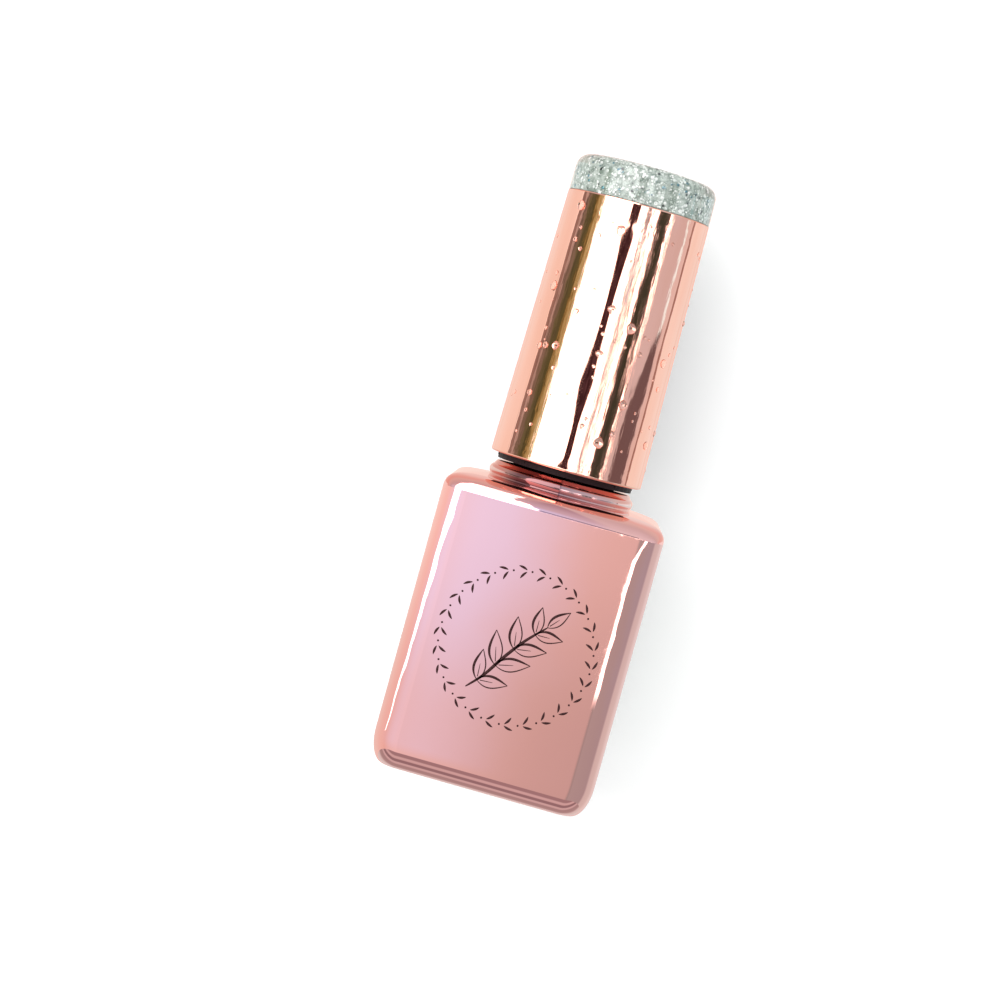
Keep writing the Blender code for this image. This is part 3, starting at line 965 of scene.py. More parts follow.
class POLISHBOTTLE_OT_print(bpy.types.Operator):
    """Print a wreath of fine leaves round a sprig on the front panel"""

    bl_idname = "polish_bottle.front_print"
    bl_label = "Front Print"

    ink_thickness, ink_lift = 0.012, 0.02

    def execute(self, context):
        settings = context.scene.polish_glass
        depth = -(settings.body_half / MM + self.ink_lift)
        middle = settings.print_height / MM
        radius = settings.print_radius / MM
        shape = bmesh.new()
        self.wreath(shape, radius, middle, depth)
        self.sprig(shape, middle, depth)
        obj = piece_from("front_print", shape, (print_ink(),), "bottle", sharp=None)
        ink = obj.modifiers.new("ink_thickness", "SOLIDIFY")
        ink.thickness = self.ink_thickness * MM
        ink.offset = 0.0
        return {"FINISHED"}

    def wreath(self, shape, radius, middle, depth):
        """Leaves in pairs round the ring, with a small dot between the pairs."""
        pairs = 26
        off_line, splay = 0.12, 0.62  # how far a leaf starts from the ring, and how far it turns away
        leaf_length, leaf_width = 1.25, 0.32
        dot_place = math.pi / pairs * 1.45
        for number in range(pairs):
            bearing = 2 * math.pi * number / pairs
            for side in (1, -1):
                start = radius + side * off_line
                x, z = start * math.cos(bearing), middle + start * math.sin(bearing)
                heading = bearing + math.pi / 2 - side * splay
                leaf(shape, x, z, heading, leaf_length, leaf_width, depth)
            between = bearing + dot_place
            dot = []
            for step in (-0.14, -0.07, 0.0, 0.07, 0.14):
                distance = radius + step
                dot.append((math.cos(between) * distance, middle + math.sin(between) * distance))
            stroke(shape, dot, (0.08, 0.24, 0.28, 0.24, 0.08), depth)

    def sprig(self, shape, middle, depth):
        """A slanted stem with pairs of open leaves, drawn with thick and thin lines."""
        stem = smooth_through([(-5.0, -6.6), (-3.1, -4.5), (-1.2, -1.6), (0.9, 1.2), (3.3, 3.7)], 12)
        lengths = (4.1, 4.6, 4.3, 3.7)
        first_pair, pair_gap = 8, 11  # counted in points of the stem
        splay, fullness = 0.78, 0.21
        end_heading, end_length, end_fullness = 0.84, 3.6, 0.2
        line = [(x, middle + z) for x, z in stem]
        stroke(shape, line, swelling(len(line), 0.12, 0.44, 0.6), depth)
        for number, length in enumerate(lengths):
            at = first_pair + number * pair_gap
            x, z = line[at]
            run = math.atan2(line[at + 1][1] - z, line[at + 1][0] - x)
            for side in (1, -1):
                open_leaf(shape, x, z, run + side * splay, length, fullness, depth)
        x, z = line[-1]
        open_leaf(shape, x, z, end_heading, end_length, end_fullness, depth)


# ---------------------------------------------------------------- the cap


class POLISHBOTTLE_OT_sleeve(bpy.types.Operator):
    """Build the long mirror sleeve with its rounded rims"""

    bl_idname = "polish_bottle.sleeve"
    bl_label = "Mirror Sleeve"

    ring_gap = 0.1  # from a straight side's last ring to its rounded edge, at the top
    rim_gap = 0.15  # the same at the rim
    bore_ring = 60.0  # height of a ring part of the way up the bore

    def execute(self, context):
        top = SEAM_Z - SEAM_GAP
        rim = cap_radius(CAP_RIM)
        round_top, round_rim, round_bore = SLEEVE_TOP_ROUND, SLEEVE_RIM_ROUND, SLEEVE_INNER_ROUND
        profile = arc(cap_radius(top) - round_top, top - round_top, round_top, round_top, 90, 0, 5)
        heights = (top - round_top - self.ring_gap, *SLEEVE_RINGS, CAP_RIM + round_rim + self.rim_gap)
        profile += [(cap_radius(z), z) for z in heights]
        profile += arc(rim - round_rim, CAP_RIM + round_rim, round_rim, round_rim, 0, -90, 8)
        bore = rim - SLEEVE_WALL
        profile += arc(bore + round_bore, CAP_RIM + round_bore, round_bore, round_bore, -90, -180, 4)
        profile += [(cap_radius(z) - SLEEVE_WALL, z) for z in (self.bore_ring, top)]
        sleeve = turned_piece(
            "mirror_sleeve",
            profile,
            (rose_mirror_shell(context.scene.polish_cap),),
            "cap",
            steps=256,
            loop=True,
            slot="rose_gold_shell",
            replaces=("cap_sleeve",),
        )
        keep_off_the_sheet(sleeve)
        return {"FINISHED"}


def end_cap_outline(inset):
    """The end cap's outer outline, from the centre of its top to its foot, moved in by inset."""
    crown_z = CAP_TOP - CROWN_RADIUS
    radius = CROWN_RADIUS - inset
    outline = [(0.0, CAP_TOP - inset), (4.0, CAP_TOP - inset)]
    outline += arc(cap_radius(crown_z) - CROWN_RADIUS, crown_z, radius, radius, 90, 0, 14)
    # A ring close to each end keeps the straight side's shading even.
    outline += [(cap_radius(z) - inset, z) for z in (crown_z - 0.1, SEAM_Z + 0.2, SEAM_Z)]
    return outline


def flake_place(draw, outline, areas):
    """A place in the turned outline's XZ half plane, its outward direction there, and a bearing."""
    piece = draw.choices(range(len(areas)), weights=areas)[0]
    (r0, z0), (r1, z1) = outline[piece], outline[piece + 1]
    share = math.sqrt(draw.random()) if r0 < ON_AXIS else draw.random()
    bearing = draw.uniform(0, 2 * math.pi)
    outward = Vector((z0 - z1, 0, r1 - r0)).normalized()
    place = Vector((r0 + (r1 - r0) * share, 0, z0 + (z1 - z0) * share))
    return place, outward, bearing


def flake_size(draw):
    """A flake's radius. Most are small."""
    chance = draw.random()
    for limit, smallest, largest in FLAKE_SIZES:
        if chance < limit:
            return draw.uniform(smallest, largest)


def flake_kind(draw, centre):
    """Which foil a flake is made of. Most teal ones lie in patches."""
    patch_scale, patch_level = 0.45, 0.28
    chance = draw.random()
    in_patch = noise.noise(centre * patch_scale) > patch_level
    if chance < BLACK_CHANCE:
        return FLAKE_BLACK
    if chance < (TEAL_PATCH_CHANCE if in_patch else TEAL_CHANCE):
        return FLAKE_TEAL
    return FLAKE_SAGE if chance < SAGE_CHANCE else FLAKE_WHITE


class POLISHBOTTLE_OT_end_cap(bpy.types.Operator):
    """Build the glitter end cap: resin ground, flakes near its surface and a clear top coat"""

    bl_idname = "polish_bottle.end_cap"
    bl_label = "Glitter End Cap"

    def execute(self, context):
        settings = context.scene.polish_cap
        self.resin(settings)
        self.flakes(settings)
        skin_of_gloss = end_cap_outline(0.0) + end_cap_outline(GLOSS_WALL)[::-1]
        turned_piece("end_cap_gloss", skin_of_gloss, (clear_gloss(),), "cap", slot="sage_glitter")
        return {"FINISHED"}

    def resin(self, settings):
        """The coloured body, with a hollow plug that fits into the sleeve."""
        plug_foot = SEAM_Z - PLUG_LENGTH
        bore = PLUG_RADIUS - PLUG_WALL
        ceiling = CAP_TOP - PLATE
        profile = end_cap_outline(GLOSS_DEPTH)
        profile += [(PLUG_RADIUS, SEAM_Z), (PLUG_RADIUS, plug_foot + PLUG_BEVEL)]
        profile += [(PLUG_RADIUS - PLUG_BEVEL, plug_foot), (bore, plug_foot), (bore, ceiling), (0.0, ceiling)]
        turned_piece(
            "end_cap",
            profile,
            (sage_resin(settings),),
            "cap",
            slot="sage_glitter",
            replaces=("colour_end_cap",),
        )

    def flakes(self, settings):
        """Six-sided flakes of several sizes, spread evenly over the outline's turned surface."""
        draw = random.Random(41)
        outline = end_cap_outline(0.0)
        shape = bmesh.new()
        areas = []
        for (r0, z0), (r1, z1) in zip(outline, outline[1:]):
            areas.append((r0 + r1) * math.hypot(r1 - r0, z1 - z0))
        for _ in range(settings.flake_count):
            place, outward, bearing = flake_place(draw, outline, areas)
            self.flake(shape, draw, place, outward, bearing, flake_size(draw))
        foils = (
            flake_foil("flake_white", (252, 252, 250), (222, 230, 224), 0.0, 0.35),
            flake_foil("flake_sage", (148, 164, 152), (196, 206, 197), 0.5, 0.3),
            flake_foil("flake_teal", (70, 128, 142), (126, 176, 184), 0.8, 0.25),
            flake_foil("flake_black", (22, 26, 28), (48, 54, 58), 0.2, 0.3),
        )
        piece_from("end_cap_flakes", shape, foils, "cap", slot="sage_glitter", sharp=None)

    def flake(self, shape, draw, place, outward, bearing, size):
        """One flake close under the surface, tilted a little."""
        shallowest, margin = 0.05, 0.03
        centre = place - outward * draw.uniform(shallowest, GLOSS_DEPTH - margin)
        across = Vector((0, 1, 0))
        along = outward.cross(across)
        lean = across * draw.uniform(-FLAKE_TILT, FLAKE_TILT)
        pitch = along * draw.uniform(-FLAKE_TILT, FLAKE_TILT)
        normal = (outward + lean + pitch).normalized()
        first = normal.orthogonal().normalized()
        second = normal.cross(first)
        turn = Matrix.Rotation(bearing, 3, "Z")
        spin = draw.uniform(0, math.pi / 3)
        rings = []
        for level in (-FLAKE_HALF_THICKNESS, FLAKE_HALF_THICKNESS):
            ring = []
            for corner in range(6):
                angle = spin + corner * math.pi / 3
                offset = (first * math.cos(angle) + second * math.sin(angle)) * size
                ring.append(turn @ (centre + offset + normal * level))
            rings.append(ring)
        faces = skin(shape, rings)[0]
        shape.verts.ensure_lookup_table()
        newest = shape.verts[-12:]
        faces.append(shape.faces.new(newest[6:]))
        faces.append(shape.faces.new(newest[5::-1]))
        kind = flake_kind(draw, turn @ centre)
        for face in faces:
            face.material_index = kind


class POLISHBOTTLE_OT_water_beads(bpy.types.Operator):
    """Scatter small water beads over the mirror sleeve"""

    bl_idname = "polish_bottle.water_beads"
    bl_label = "Water Beads"

    def execute(self, context):
        settings = context.scene.polish_cap
        draw = random.Random(7)
        rim_margin, seam_margin = 1.5, 2.0
        placed = []
        for across, z, size in LARGE_BEADS:
            placed.append((math.asin(across / cap_radius(z)) - math.pi / 2, z, size))
        while len(placed) < settings.bead_count:
            bearing = draw.uniform(-math.pi, math.pi)
            z = draw.uniform(CAP_RIM + rim_margin, SEAM_Z - seam_margin)
            size = draw.choice(SMALL_BEAD_RADII) * draw.uniform(0.9, 1.1)
            if all(self.apart(bearing, z, size, other) for other in placed):
                placed.append((bearing, z, size))
        shape = bmesh.new()
        for number, (bearing, z, size) in enumerate(placed):
            self.bead(shape, number, bearing, z, size)
        piece_from("water_beads", shape, (water(),), "cap", sharp=None)
        return {"FINISHED"}

    def apart(self, bearing, z, size, other):
        """Whether two beads have some bare sleeve between them."""
        room = 1.3
        other_bearing, other_z, other_size = other
        across = (bearing - other_bearing) * cap_radius(z)
        return math.hypot(across, z - other_z) > (size + other_size) * room

    def bead(self, shape, number, bearing, z, size):
        """One dome with an uneven, slightly sagging outline, laid on the sleeve."""
        rows, columns = 7, 20
        unevenness, sagging = 0.28, 0.25
        own_noise = number * 3.1
        lift = size * BEAD_LIFT
        rings = [[self.on_sleeve(bearing, z, 0.0, 0.0, -BEAD_SUNK)]]
        for row in range(rows):
            climb = math.pi / 2 * row / rows
            ring = []
            for column in range(columns):
                turn = 2 * math.pi * column / columns
                wave = noise.noise(Vector((math.cos(turn), math.sin(turn), own_noise))) * unevenness
                spread = size * (1.0 + wave) * math.cos(climb)
                sag = 1.0 + sagging * max(0.0, -math.sin(turn))
                across, up = spread * math.cos(turn), spread * math.sin(turn) * sag
                ring.append(self.on_sleeve(bearing, z, across, up, lift * math.sin(climb) - BEAD_SUNK))
            rings.append(ring)
        rings.append([self.on_sleeve(bearing, z, 0.0, 0.0, lift)])
        skin(shape, rings)

    def on_sleeve(self, bearing, z, across, up, lift):
        """A point lift above the sleeve, across and up from a bead's centre."""
        radius = cap_radius(z + up) + lift
        angle = bearing + across / cap_radius(z)
        return (radius * math.cos(angle), radius * math.sin(angle), z + up)


# ---------------------------------------------------------------- inside


class POLISHBOTTLE_OT_bristles(bpy.types.Operator):
    """Build the brush's tuft from single nylon bristles"""

    bl_idname = "polish_bottle.bristles"
    bl_label = "Bristles"

    def execute(self, context):
        """Spreads the bristles evenly over a disc, which the tuft's outline then flattens."""
        settings = context.scene.polish_brush
        draw = random.Random(23)
        golden = math.pi * (3 - math.sqrt(5))
        radius = settings.bristle_radius / MM
        shape = bmesh.new()
        for number in range(settings.bristle_count):
            share = math.sqrt((number + 0.5) / settings.bristle_count)
            turn = number * golden
            self.bristle(shape, draw, share * math.cos(turn), share * math.sin(turn), radius)
        piece_from(
            "bristle_tuft",
            shape,
            (nylon_bristle(),),
            "wand",
            slot="dark_nylon",
            replaces=("brush_bristles",),
            sharp=None,
        )
        return {"FINISHED"}

    def tuft_radius(self, z):
        """Half width of the tuft at a height."""
        for (low, low_radius), (high, high_radius) in zip(TUFT_WIDTHS, TUFT_WIDTHS[1:]):
            if z <= high:
                return low_radius + (high_radius - low_radius) * max(0.0, z - low) / (high - low)
        return TUFT_WIDTHS[-1][1]

    def bristle(self, shape, draw, side, depth, radius):
        """One bristle from the root to the tuft's rounded tip, thinner at its end."""
        rows, corners = 12, 5
        lowest, straying, point = 0.05, 0.03, 0.03
        row_thickness = [1.0] * (rows - 1) + [0.75, 0.3]
        rounding = TIP_ROUND * (1 - math.sqrt(max(0.0, 1 - side * side)))
        tip = TUFT_TIP + lowest + rounding + draw.uniform(0, TIP_SPREAD)
        stray = draw.uniform(-straying, straying)
        turns = [2 * math.pi * corner / corners for corner in range(corners)]
        rings = []
        for row in range(rows + 1):
            z = TUFT_TOP + (tip - TUFT_TOP) * row / rows
            spread = self.tuft_radius(z) - radius
            x = side * spread + stray * row / rows
            y = depth * spread * TUFT_FLATNESS
            thickness = radius * row_thickness[row]
            rings.append([(x + thickness * math.cos(a), y + thickness * math.sin(a), z) for a in turns])
        root_x, root_y = rings[0][0][:2]
        tip_x, tip_y = rings[-1][0][:2]
        root_pole = [(root_x - radius, root_y, TUFT_TOP)]
        tip_pole = [(tip_x - radius * row_thickness[-1], tip_y, tip - point)]
        skin(shape, [root_pole, *rings, tip_pole])


class POLISHBOTTLE_OT_inner_parts(bpy.types.Operator):
    """Give the inner cap, stem, liner, anchor, mixing balls, filling and foot label their finishes"""

    bl_idname = "polish_bottle.inner_parts"
    bl_label = "Inner Parts"

    def execute(self, context):
        black = moulded_plastic("black_moulding", (34, 14, 17), 0.5, shine=0.15)
        finish_node("inner_cap", black)
        finish_node("brush_stem", moulded_plastic("stem_moulding", (30, 27, 28), 0.2, 4.0, 0.4, coat=0.3))
        finish_node("sealing_liner", moulded_plastic("liner_foam", (236, 235, 230), 0.8, 14.0, 0.3))
        finish_node("foot_label", moulded_plastic("label_paper", (240, 238, 234), 0.75, 10.0, 0.12))
        steel = polished_steel()
        for node in ("bristle_anchor", "mixing_ball_1", "mixing_ball_2"):
            finish_node(node, steel)
        finish_node("polish_gel", glitter_gel())
        return {"FINISHED"}


# ---------------------------------------------------------------- the studio


# The light behind the bottle, where the strips' two ends meet.
SLEEVE_BACK = linear((255, 228, 217))
GLASS_BACK = linear((241, 213, 206))

# What the sleeve shows from its left edge to its right edge: where each strip starts, and its colour.
SLEEVE_STRIPS = (
    (-1.0, SLEEVE_BACK),
    (-0.985, card(252, 205, 188, side=0.97)),
    (-0.955, card(252, 198, 178, side=0.9)),
    (-0.775, card(150, 102, 88)),
    (-0.745, card(178, 130, 114)),
    (-0.715, card(126, 92, 74)),
    (-0.67, card(108, 86, 56)),
    (-0.62, card(92, 74, 42)),
    (-0.585, card(150, 108, 58)),
    (-0.555, card(206, 160, 104)),
    (-0.53, card(170, 124, 72)),
    (-0.505, card(238, 206, 156)),
    (-0.485, WHITE_CARD),
    (0.112, card(236, 200, 190)),
    (0.14, card(206, 160, 150)),
    (0.16, card(250, 232, 224)),
    (0.178, card(176, 134, 126)),
    (0.192, WHITE_CARD),
    (0.208, card(112, 80, 74)),
    (0.222, WHITE_CARD),
    (0.285, card(88, 66, 56)),
    (0.33, card(66, 54, 40)),
    (0.40, card(96, 74, 62)),
    (0.43, card(64, 44, 38)),
    (0.445, WHITE_CARD),
    (0.48, card(216, 170, 160)),
    (0.69, card(250, 232, 220)),
    (0.72, card(228, 176, 162)),
    (0.775, card(166, 110, 96)),
    (0.80, card(251, 202, 184, side=0.87)),
    (0.945, card(248, 203, 187, side=0.96)),
    (0.98, SLEEVE_BACK),
)

# The outline of a dark shape that the sleeve's middle reflects: the height on the sleeve, and the shape's
# left and right edges there as shares of the sleeve's radius.
DARK_SHAPE_OUTLINE = (
    (43.2, -0.073, 0.019),
    (44.8, -0.067, 0.013),
    (47.0, -0.064, 0.011),
    (50.0, -0.070, 0.000),
    (52.0, -0.096, 0.010),
    (53.9, -0.120, 0.023),
    (55.7, -0.132, 0.038),
    (58.8, -0.101, 0.015),
    (62.5, -0.082, 0.009),
    (66.0, -0.080, 0.004),
    (69.6, -0.089, 0.009),
    (72.6, -0.104, 0.020),
    (74.4, -0.119, 0.029),
    (75.4, -0.131, 0.034),
    (77.4, -0.086, 0.007),
    (78.2, -0.061, -0.012),
    (78.9, -0.048, -0.025),
    (79.5, -0.070, -0.004),
    (80.1, -0.100, 0.027),
    (80.35, -0.088, 0.028),
    (90.0, -0.088, 0.028),
)
# The height at which the sleeve is seen level, and the distance it is seen from.
EYE_Z, EYE_DISTANCE = 57.0, 339.5

# What the upright glass edges and panels show, by bearing.
GLASS_STRIPS = (
    (-180, GLASS_BACK),
    (-165, coat_card(251, 208, 198, side=0.991)),
    (-150, coat_card(251, 201, 190, side=0.966)),
    (-120, coat_card(251, 192, 180, side=0.866)),
    (-84, coat_card(250, 180, 167)),
    (-62, coat_card(246, 172, 158)),
    (-44, coat_card(246, 178, 168)),
    (-20, (1.0, 1.0, 1.0)),
    (-3, (1.02, 1.02, 1.02)),
    (0, (0.88, 0.88, 0.88)),
    (3, (0.76, 0.76, 0.76)),
    (6, coat_card(176, 138, 134)),
    (76, coat_card(172, 134, 132)),
    (86, coat_card(209, 169, 162)),
    (112, coat_card(214, 174, 166)),
    (132, coat_card(228, 190, 183, side=0.91)),
    (150, coat_card(230, 196, 190, side=0.966)),
    (165, coat_card(230, 200, 194, side=0.991)),
    (180, GLASS_BACK),
)

# What is overhead, from the front horizon (0) over the top (90) to the back (180).
OVERHEAD = (
    (0, coat_card(222, 178, 184)),
    (25, coat_card(206, 160, 168)),
    (45, coat_card(194, 148, 156)),
    (75, coat_card(178, 128, 134)),
    (95, coat_card(186, 132, 130)),
    (125, coat_card(208, 142, 132)),
    (145, linear((226, 160, 148))),
    (160, linear((232, 172, 160))),
    (180, linear((246, 206, 196))),
)

# What is underneath, from the front horizon (0) to the back (180).
UNDERNEATH = (
    (0, coat_card(168, 122, 120)),
    (44, coat_card(160, 112, 112)),
    (47, coat_card(208, 156, 152)),
    (52, coat_card(205, 152, 148)),
    (55, coat_card(146, 102, 103)),
    (63, coat_card(150, 106, 106)),
    (66, coat_card(208, 158, 154)),
    (73, coat_card(202, 152, 148)),
    (78, coat_card(168, 124, 122)),
    (98, coat_card(174, 130, 126)),
    (112, coat_card(216, 176, 170)),
    (180, coat_card(236, 204, 196)),
)

# The rises over which the light of one part gives way to the next, in degrees.
UNDERNEATH_TO_GLASS = (-37.5, -36.5)
GLASS_TO_SLEEVE = (-2.9, -2.5)
SLEEVE_TO_OVERHEAD = (7.6, 8.2)


def strips(tree, bearing, table, interpolation):
    """A ramp over bearings from -180 to 180."""
    place = tree.between(bearing, -180, 180, smooth=False)
    return tree.ramp(place, [((start + 180) / 360, colour) for start, colour in table], interpolation)


def half_turn_strips(tree, turn, table):
    """A ramp over angles from 0 to 180."""
    return tree.ramp(tree.maths("DIVIDE", turn, 180.0), [(start / 180, colour) for start, colour in table])


class Sky:
    """The light that mirrors see. The sleeve, the glass, its shoulder and its heel each see their own part.

    Angles are in degrees. A bearing is 0 at the front and 90 at +X, and a rise is 0 at the horizon.
    """

    def __init__(self, tree):
        self.tree = tree
        x, y, z = tree.split(tree.add("TexCoord").outputs["Generated"])
        front = tree.maths("MULTIPLY", y, -1.0)
        self.bearing = tree.maths("DEGREES", tree.maths("ARCTAN2", x, front))
        self.rise = tree.maths("DEGREES", tree.maths("ARCSINE", z))
        self.over = tree.maths("DEGREES", tree.maths("ARCTAN2", z, front))
        self.under = tree.maths("MULTIPLY", self.over, -1.0)

    def wave(self, across, up, scale, detail):
        """Noise from about -0.25 to 0.25. Across and up say how fine it is over bearings and rises."""
        tree = self.tree
        side = tree.maths("MULTIPLY", self.bearing, across)
        height = tree.maths("MULTIPLY", self.rise, up)
        return tree.maths("SUBTRACT", tree.noise(tree.joined(side, height, 3.0), scale, detail), 0.5)

    def band(self, value, low, high, soft):
        """1 where a value lies between low and high, with soft ends."""
        tree = self.tree
        above = tree.between(tree.maths("SUBTRACT", value, low), -soft, soft)
        below = tree.between(tree.maths("SUBTRACT", value, high), soft, -soft)
        return tree.maths("MULTIPLY", above, below)

    def sleeve(self):
        """Upright strips with wavy, frayed edges, a mauve shape low on the right and the dark shape."""
        tree = self.tree
        sway = self.wave(0.05, 1.0, 1.1, 4.0)
        fray = self.wave(0.12, 1.0, 3.4, 5.0)
        # The strips fray widely except near the outline, and those right of the middle sway more.
        frayed = tree.between(tree.maths("ABSOLUTE", self.bearing), 88.0, 104.0, 21.0, 2.5)
        swaying = tree.between(self.bearing, 12.0, 25.0, 2.2, 6.0)
        shaken = tree.maths("MULTIPLY_ADD", sway, swaying, self.bearing)
        shaken = tree.maths("MULTIPLY_ADD", fray, frayed, shaken)
        table = [(2 * math.degrees(math.asin(side)), colour) for side, colour in SLEEVE_STRIPS]
        light = self.threads(strips(tree, shaken, table, "CONSTANT"), shaken)
        light = tree.blend(self.mauve_shape(sway, shaken), light, card(116, 80, 76))
        cloth = tree.blend(tree.between(fray, -0.15, 0.2), card(52, 22, 20), card(92, 52, 52))
        return tree.blend(self.dark_shape(), light, cloth)

    def threads(self, light, shaken):
        """Fine upright lines: shades of the brown strips, and pale and dark ones right of the middle."""
        tree = self.tree
        height = tree.maths("MULTIPLY", self.rise, 0.35)
        threads = tree.noise(tree.joined(shaken, height, 0.0), 0.33, 3.0)
        tone = tree.between(threads, 0.38, 0.6, 0.55, 1.2)
        right = self.band(self.bearing, 13.0, 62.0, 2.0)
        brown = self.band(self.bearing, -104.0, -58.0, 2.0)
        brown_share = tree.maths("MULTIPLY", brown, 0.8)
        light = tree.blend(brown_share, light, tree.shaded(light, tone))
        pale_below = tree.between(self.bearing, 30.0, 38.0, 0.43, 0.36)
        pale = tree.between(tree.maths("SUBTRACT", threads, pale_below), 0.01, -0.02)
        pale = tree.maths("MULTIPLY", right, pale)
        dark = tree.maths("MULTIPLY", right, tree.between(threads, 0.585, 0.61))
        light = tree.blend(pale, light, WHITE_CARD)
        return tree.blend(dark, light, card(104, 76, 68))

    def mauve_shape(self, sway, shaken):
        """1 inside a shape with a wavy, rising top."""
        tree = self.tree
        top = tree.maths("MULTIPLY_ADD", sway, 2.4, tree.between(self.bearing, 66.0, 84.0, 1.2, 2.8))
        width = self.band(shaken, 68.0, 94.0, 1.5)
        return tree.maths("MULTIPLY", width, self.band(self.rise, -4.0, top, 0.12))

    def dark_shape(self):
        """1 inside the dark shape's outline, which a ramp holds as its left and right edges over heights."""
        tree = self.tree
        taper = math.degrees(2 * math.atan(CAP_TAPER))
        lowest, highest = -3.0, 12.0
        shift = 0.2  # keeps the edges above 0 in the ramp
        stops = []
        for z, left, right in DARK_SHAPE_OUTLINE:
            rise = math.degrees((z - EYE_Z) / EYE_DISTANCE) + taper
            stops.append(((rise - lowest) / (highest - lowest), (left + shift, right + shift, 0.0)))
        place = tree.between(self.rise, lowest, highest, smooth=False)
        left, right = tree.split(tree.ramp(place, stops))[:2]
        half_bearing = tree.maths("RADIANS", tree.maths("MULTIPLY", self.bearing, 0.5))
        side = tree.maths("ADD", tree.maths("SINE", half_bearing), shift)
        inside = self.band(side, left, right, 0.004)
        return tree.maths("MULTIPLY", inside, tree.between(self.rise, -0.5, -0.3))

    def glass(self):
        """What the panels and the upright edges of the glass see, with white lines beside the front panel."""
        tree = self.tree
        panel_top = -3.1  # the rise that the panels' upper edge mirrors, and they mirror lower ones below it
        drop = tree.maths("SUBTRACT", panel_top, self.rise)
        low = tree.maths("MINIMUM", drop, 6.5)
        light = strips(tree, self.bearing, GLASS_STRIPS, "LINEAR")
        dim = tree.between(self.bearing, -1.5, 1.4, 0.90, 0.79)
        falling = tree.maths("MULTIPLY", tree.between(drop, 0.2, 5.0), tree.between(self.bearing, 12.0, 3.0))
        less = tree.maths("MULTIPLY", falling, tree.maths("SUBTRACT", dim, 1.0))
        light = tree.shaded(light, tree.maths("ADD", 1.0, less))
        left_line = self.left_line(low)
        right_line = self.right_line(drop)
        scraps = self.scraps(drop)
        white = tree.maths("MAXIMUM", tree.maths("MAXIMUM", left_line, right_line), scraps)
        return tree.blend(white, light, WHITE_CARD)

    def left_line(self, low):
        """The long white line of the left edge, which narrows towards the heel."""
        tree = self.tree
        wander = self.wave(0.01, 1.0, 1.0, 3.0)
        start = tree.maths("MULTIPLY_ADD", tree.maths("SUBTRACT", low, 0.7), -3.2, -57.0)
        end = tree.maths("MULTIPLY_ADD", tree.maths("SUBTRACT", low, 0.7), -8.6, -28.0)
        start = tree.maths("MULTIPLY_ADD", wander, 26.0, start)
        end = tree.maths("MULTIPLY_ADD", wander, 36.0, end)
        return self.band(self.bearing, start, end, 1.2)

    def right_line(self, drop):
        """The shorter white line of the right edge, which ends part of the way down."""
        tree = self.tree
        wander = self.wave(0.01, 1.0, 1.7, 4.0)
        shift = tree.between(drop, -0.1, 0.7, 32.0, 0.0)
        start = tree.maths("ADD", tree.maths("MULTIPLY_ADD", wander, 0.3, 2.01), shift)
        width = tree.maths("ADD", tree.between(drop, 0.0, 0.8, 16.0, 10.0), shift)
        end = tree.maths("MULTIPLY_ADD", wander, 18.0, width)
        line = self.band(self.bearing, start, end, 0.02)
        return tree.maths("MULTIPLY", line, tree.between(drop, 4.1, 3.4))

    def scraps(self, drop):
        """Small ragged bits of white along the top of the front panel."""
        tree = self.tree
        place = tree.joined(tree.maths("MULTIPLY", self.bearing, 6.0), self.rise, 0.0)
        size = tree.maths("SUBTRACT", tree.noise(place, 0.8, 3.0), 0.45)
        height = tree.maths("MULTIPLY_ADD", tree.between(self.bearing, 0.2, 1.5), 0.05, 0.06)
        off = tree.maths("ABSOLUTE", tree.maths("SUBTRACT", drop, height))
        scrap = tree.between(tree.maths("SUBTRACT", tree.maths("MULTIPLY", size, 0.35), off), -0.01, 0.02)
        return tree.maths("MULTIPLY", scrap, self.band(self.bearing, 0.35, 1.9, 0.1))

    def upper(self):
        """Overhead light, with a white window whose lower part reaches the shoulder's left half."""
        tree = self.tree
        light = half_turn_strips(tree, self.over, OVERHEAD)
        left_share = tree.between(self.bearing, -1.8, -0.4, 0.35, 0.0)
        light = tree.blend(left_share, light, coat_card(246, 180, 166))
        right_share = tree.between(self.bearing, 0.9, 1.6, 0.0, 0.45)
        light = tree.blend(right_share, light, coat_card(240, 192, 182))
        top = tree.between(self.bearing, -2.1, -0.1, 72.0, 2.0, smooth=False)
        ragged = self.wave(3.0, 0.05, 1.2, 4.0)
        top = tree.maths("MULTIPLY_ADD", ragged, 40.0, top)
        window_height = self.band(self.over, -20.0, top, 3.0)
        window = tree.maths("MULTIPLY", window_height, self.band(self.bearing, -58.0, -0.1, 0.15))
        return tree.blend(window, light, WHITE_CARD)

    def joined(self):
        """All of it: underneath, the glass, the sleeve and overhead, from the lowest rise to the highest."""
        tree = self.tree
        light = tree.blend(tree.between(self.rise, *GLASS_TO_SLEEVE), self.glass(), self.sleeve())
        light = tree.blend(tree.between(self.rise, *SLEEVE_TO_OVERHEAD), light, self.upper())
        underneath = half_turn_strips(tree, self.under, UNDERNEATH)
        return tree.blend(tree.between(self.rise, *UNDERNEATH_TO_GLASS[::-1]), light, underneath)


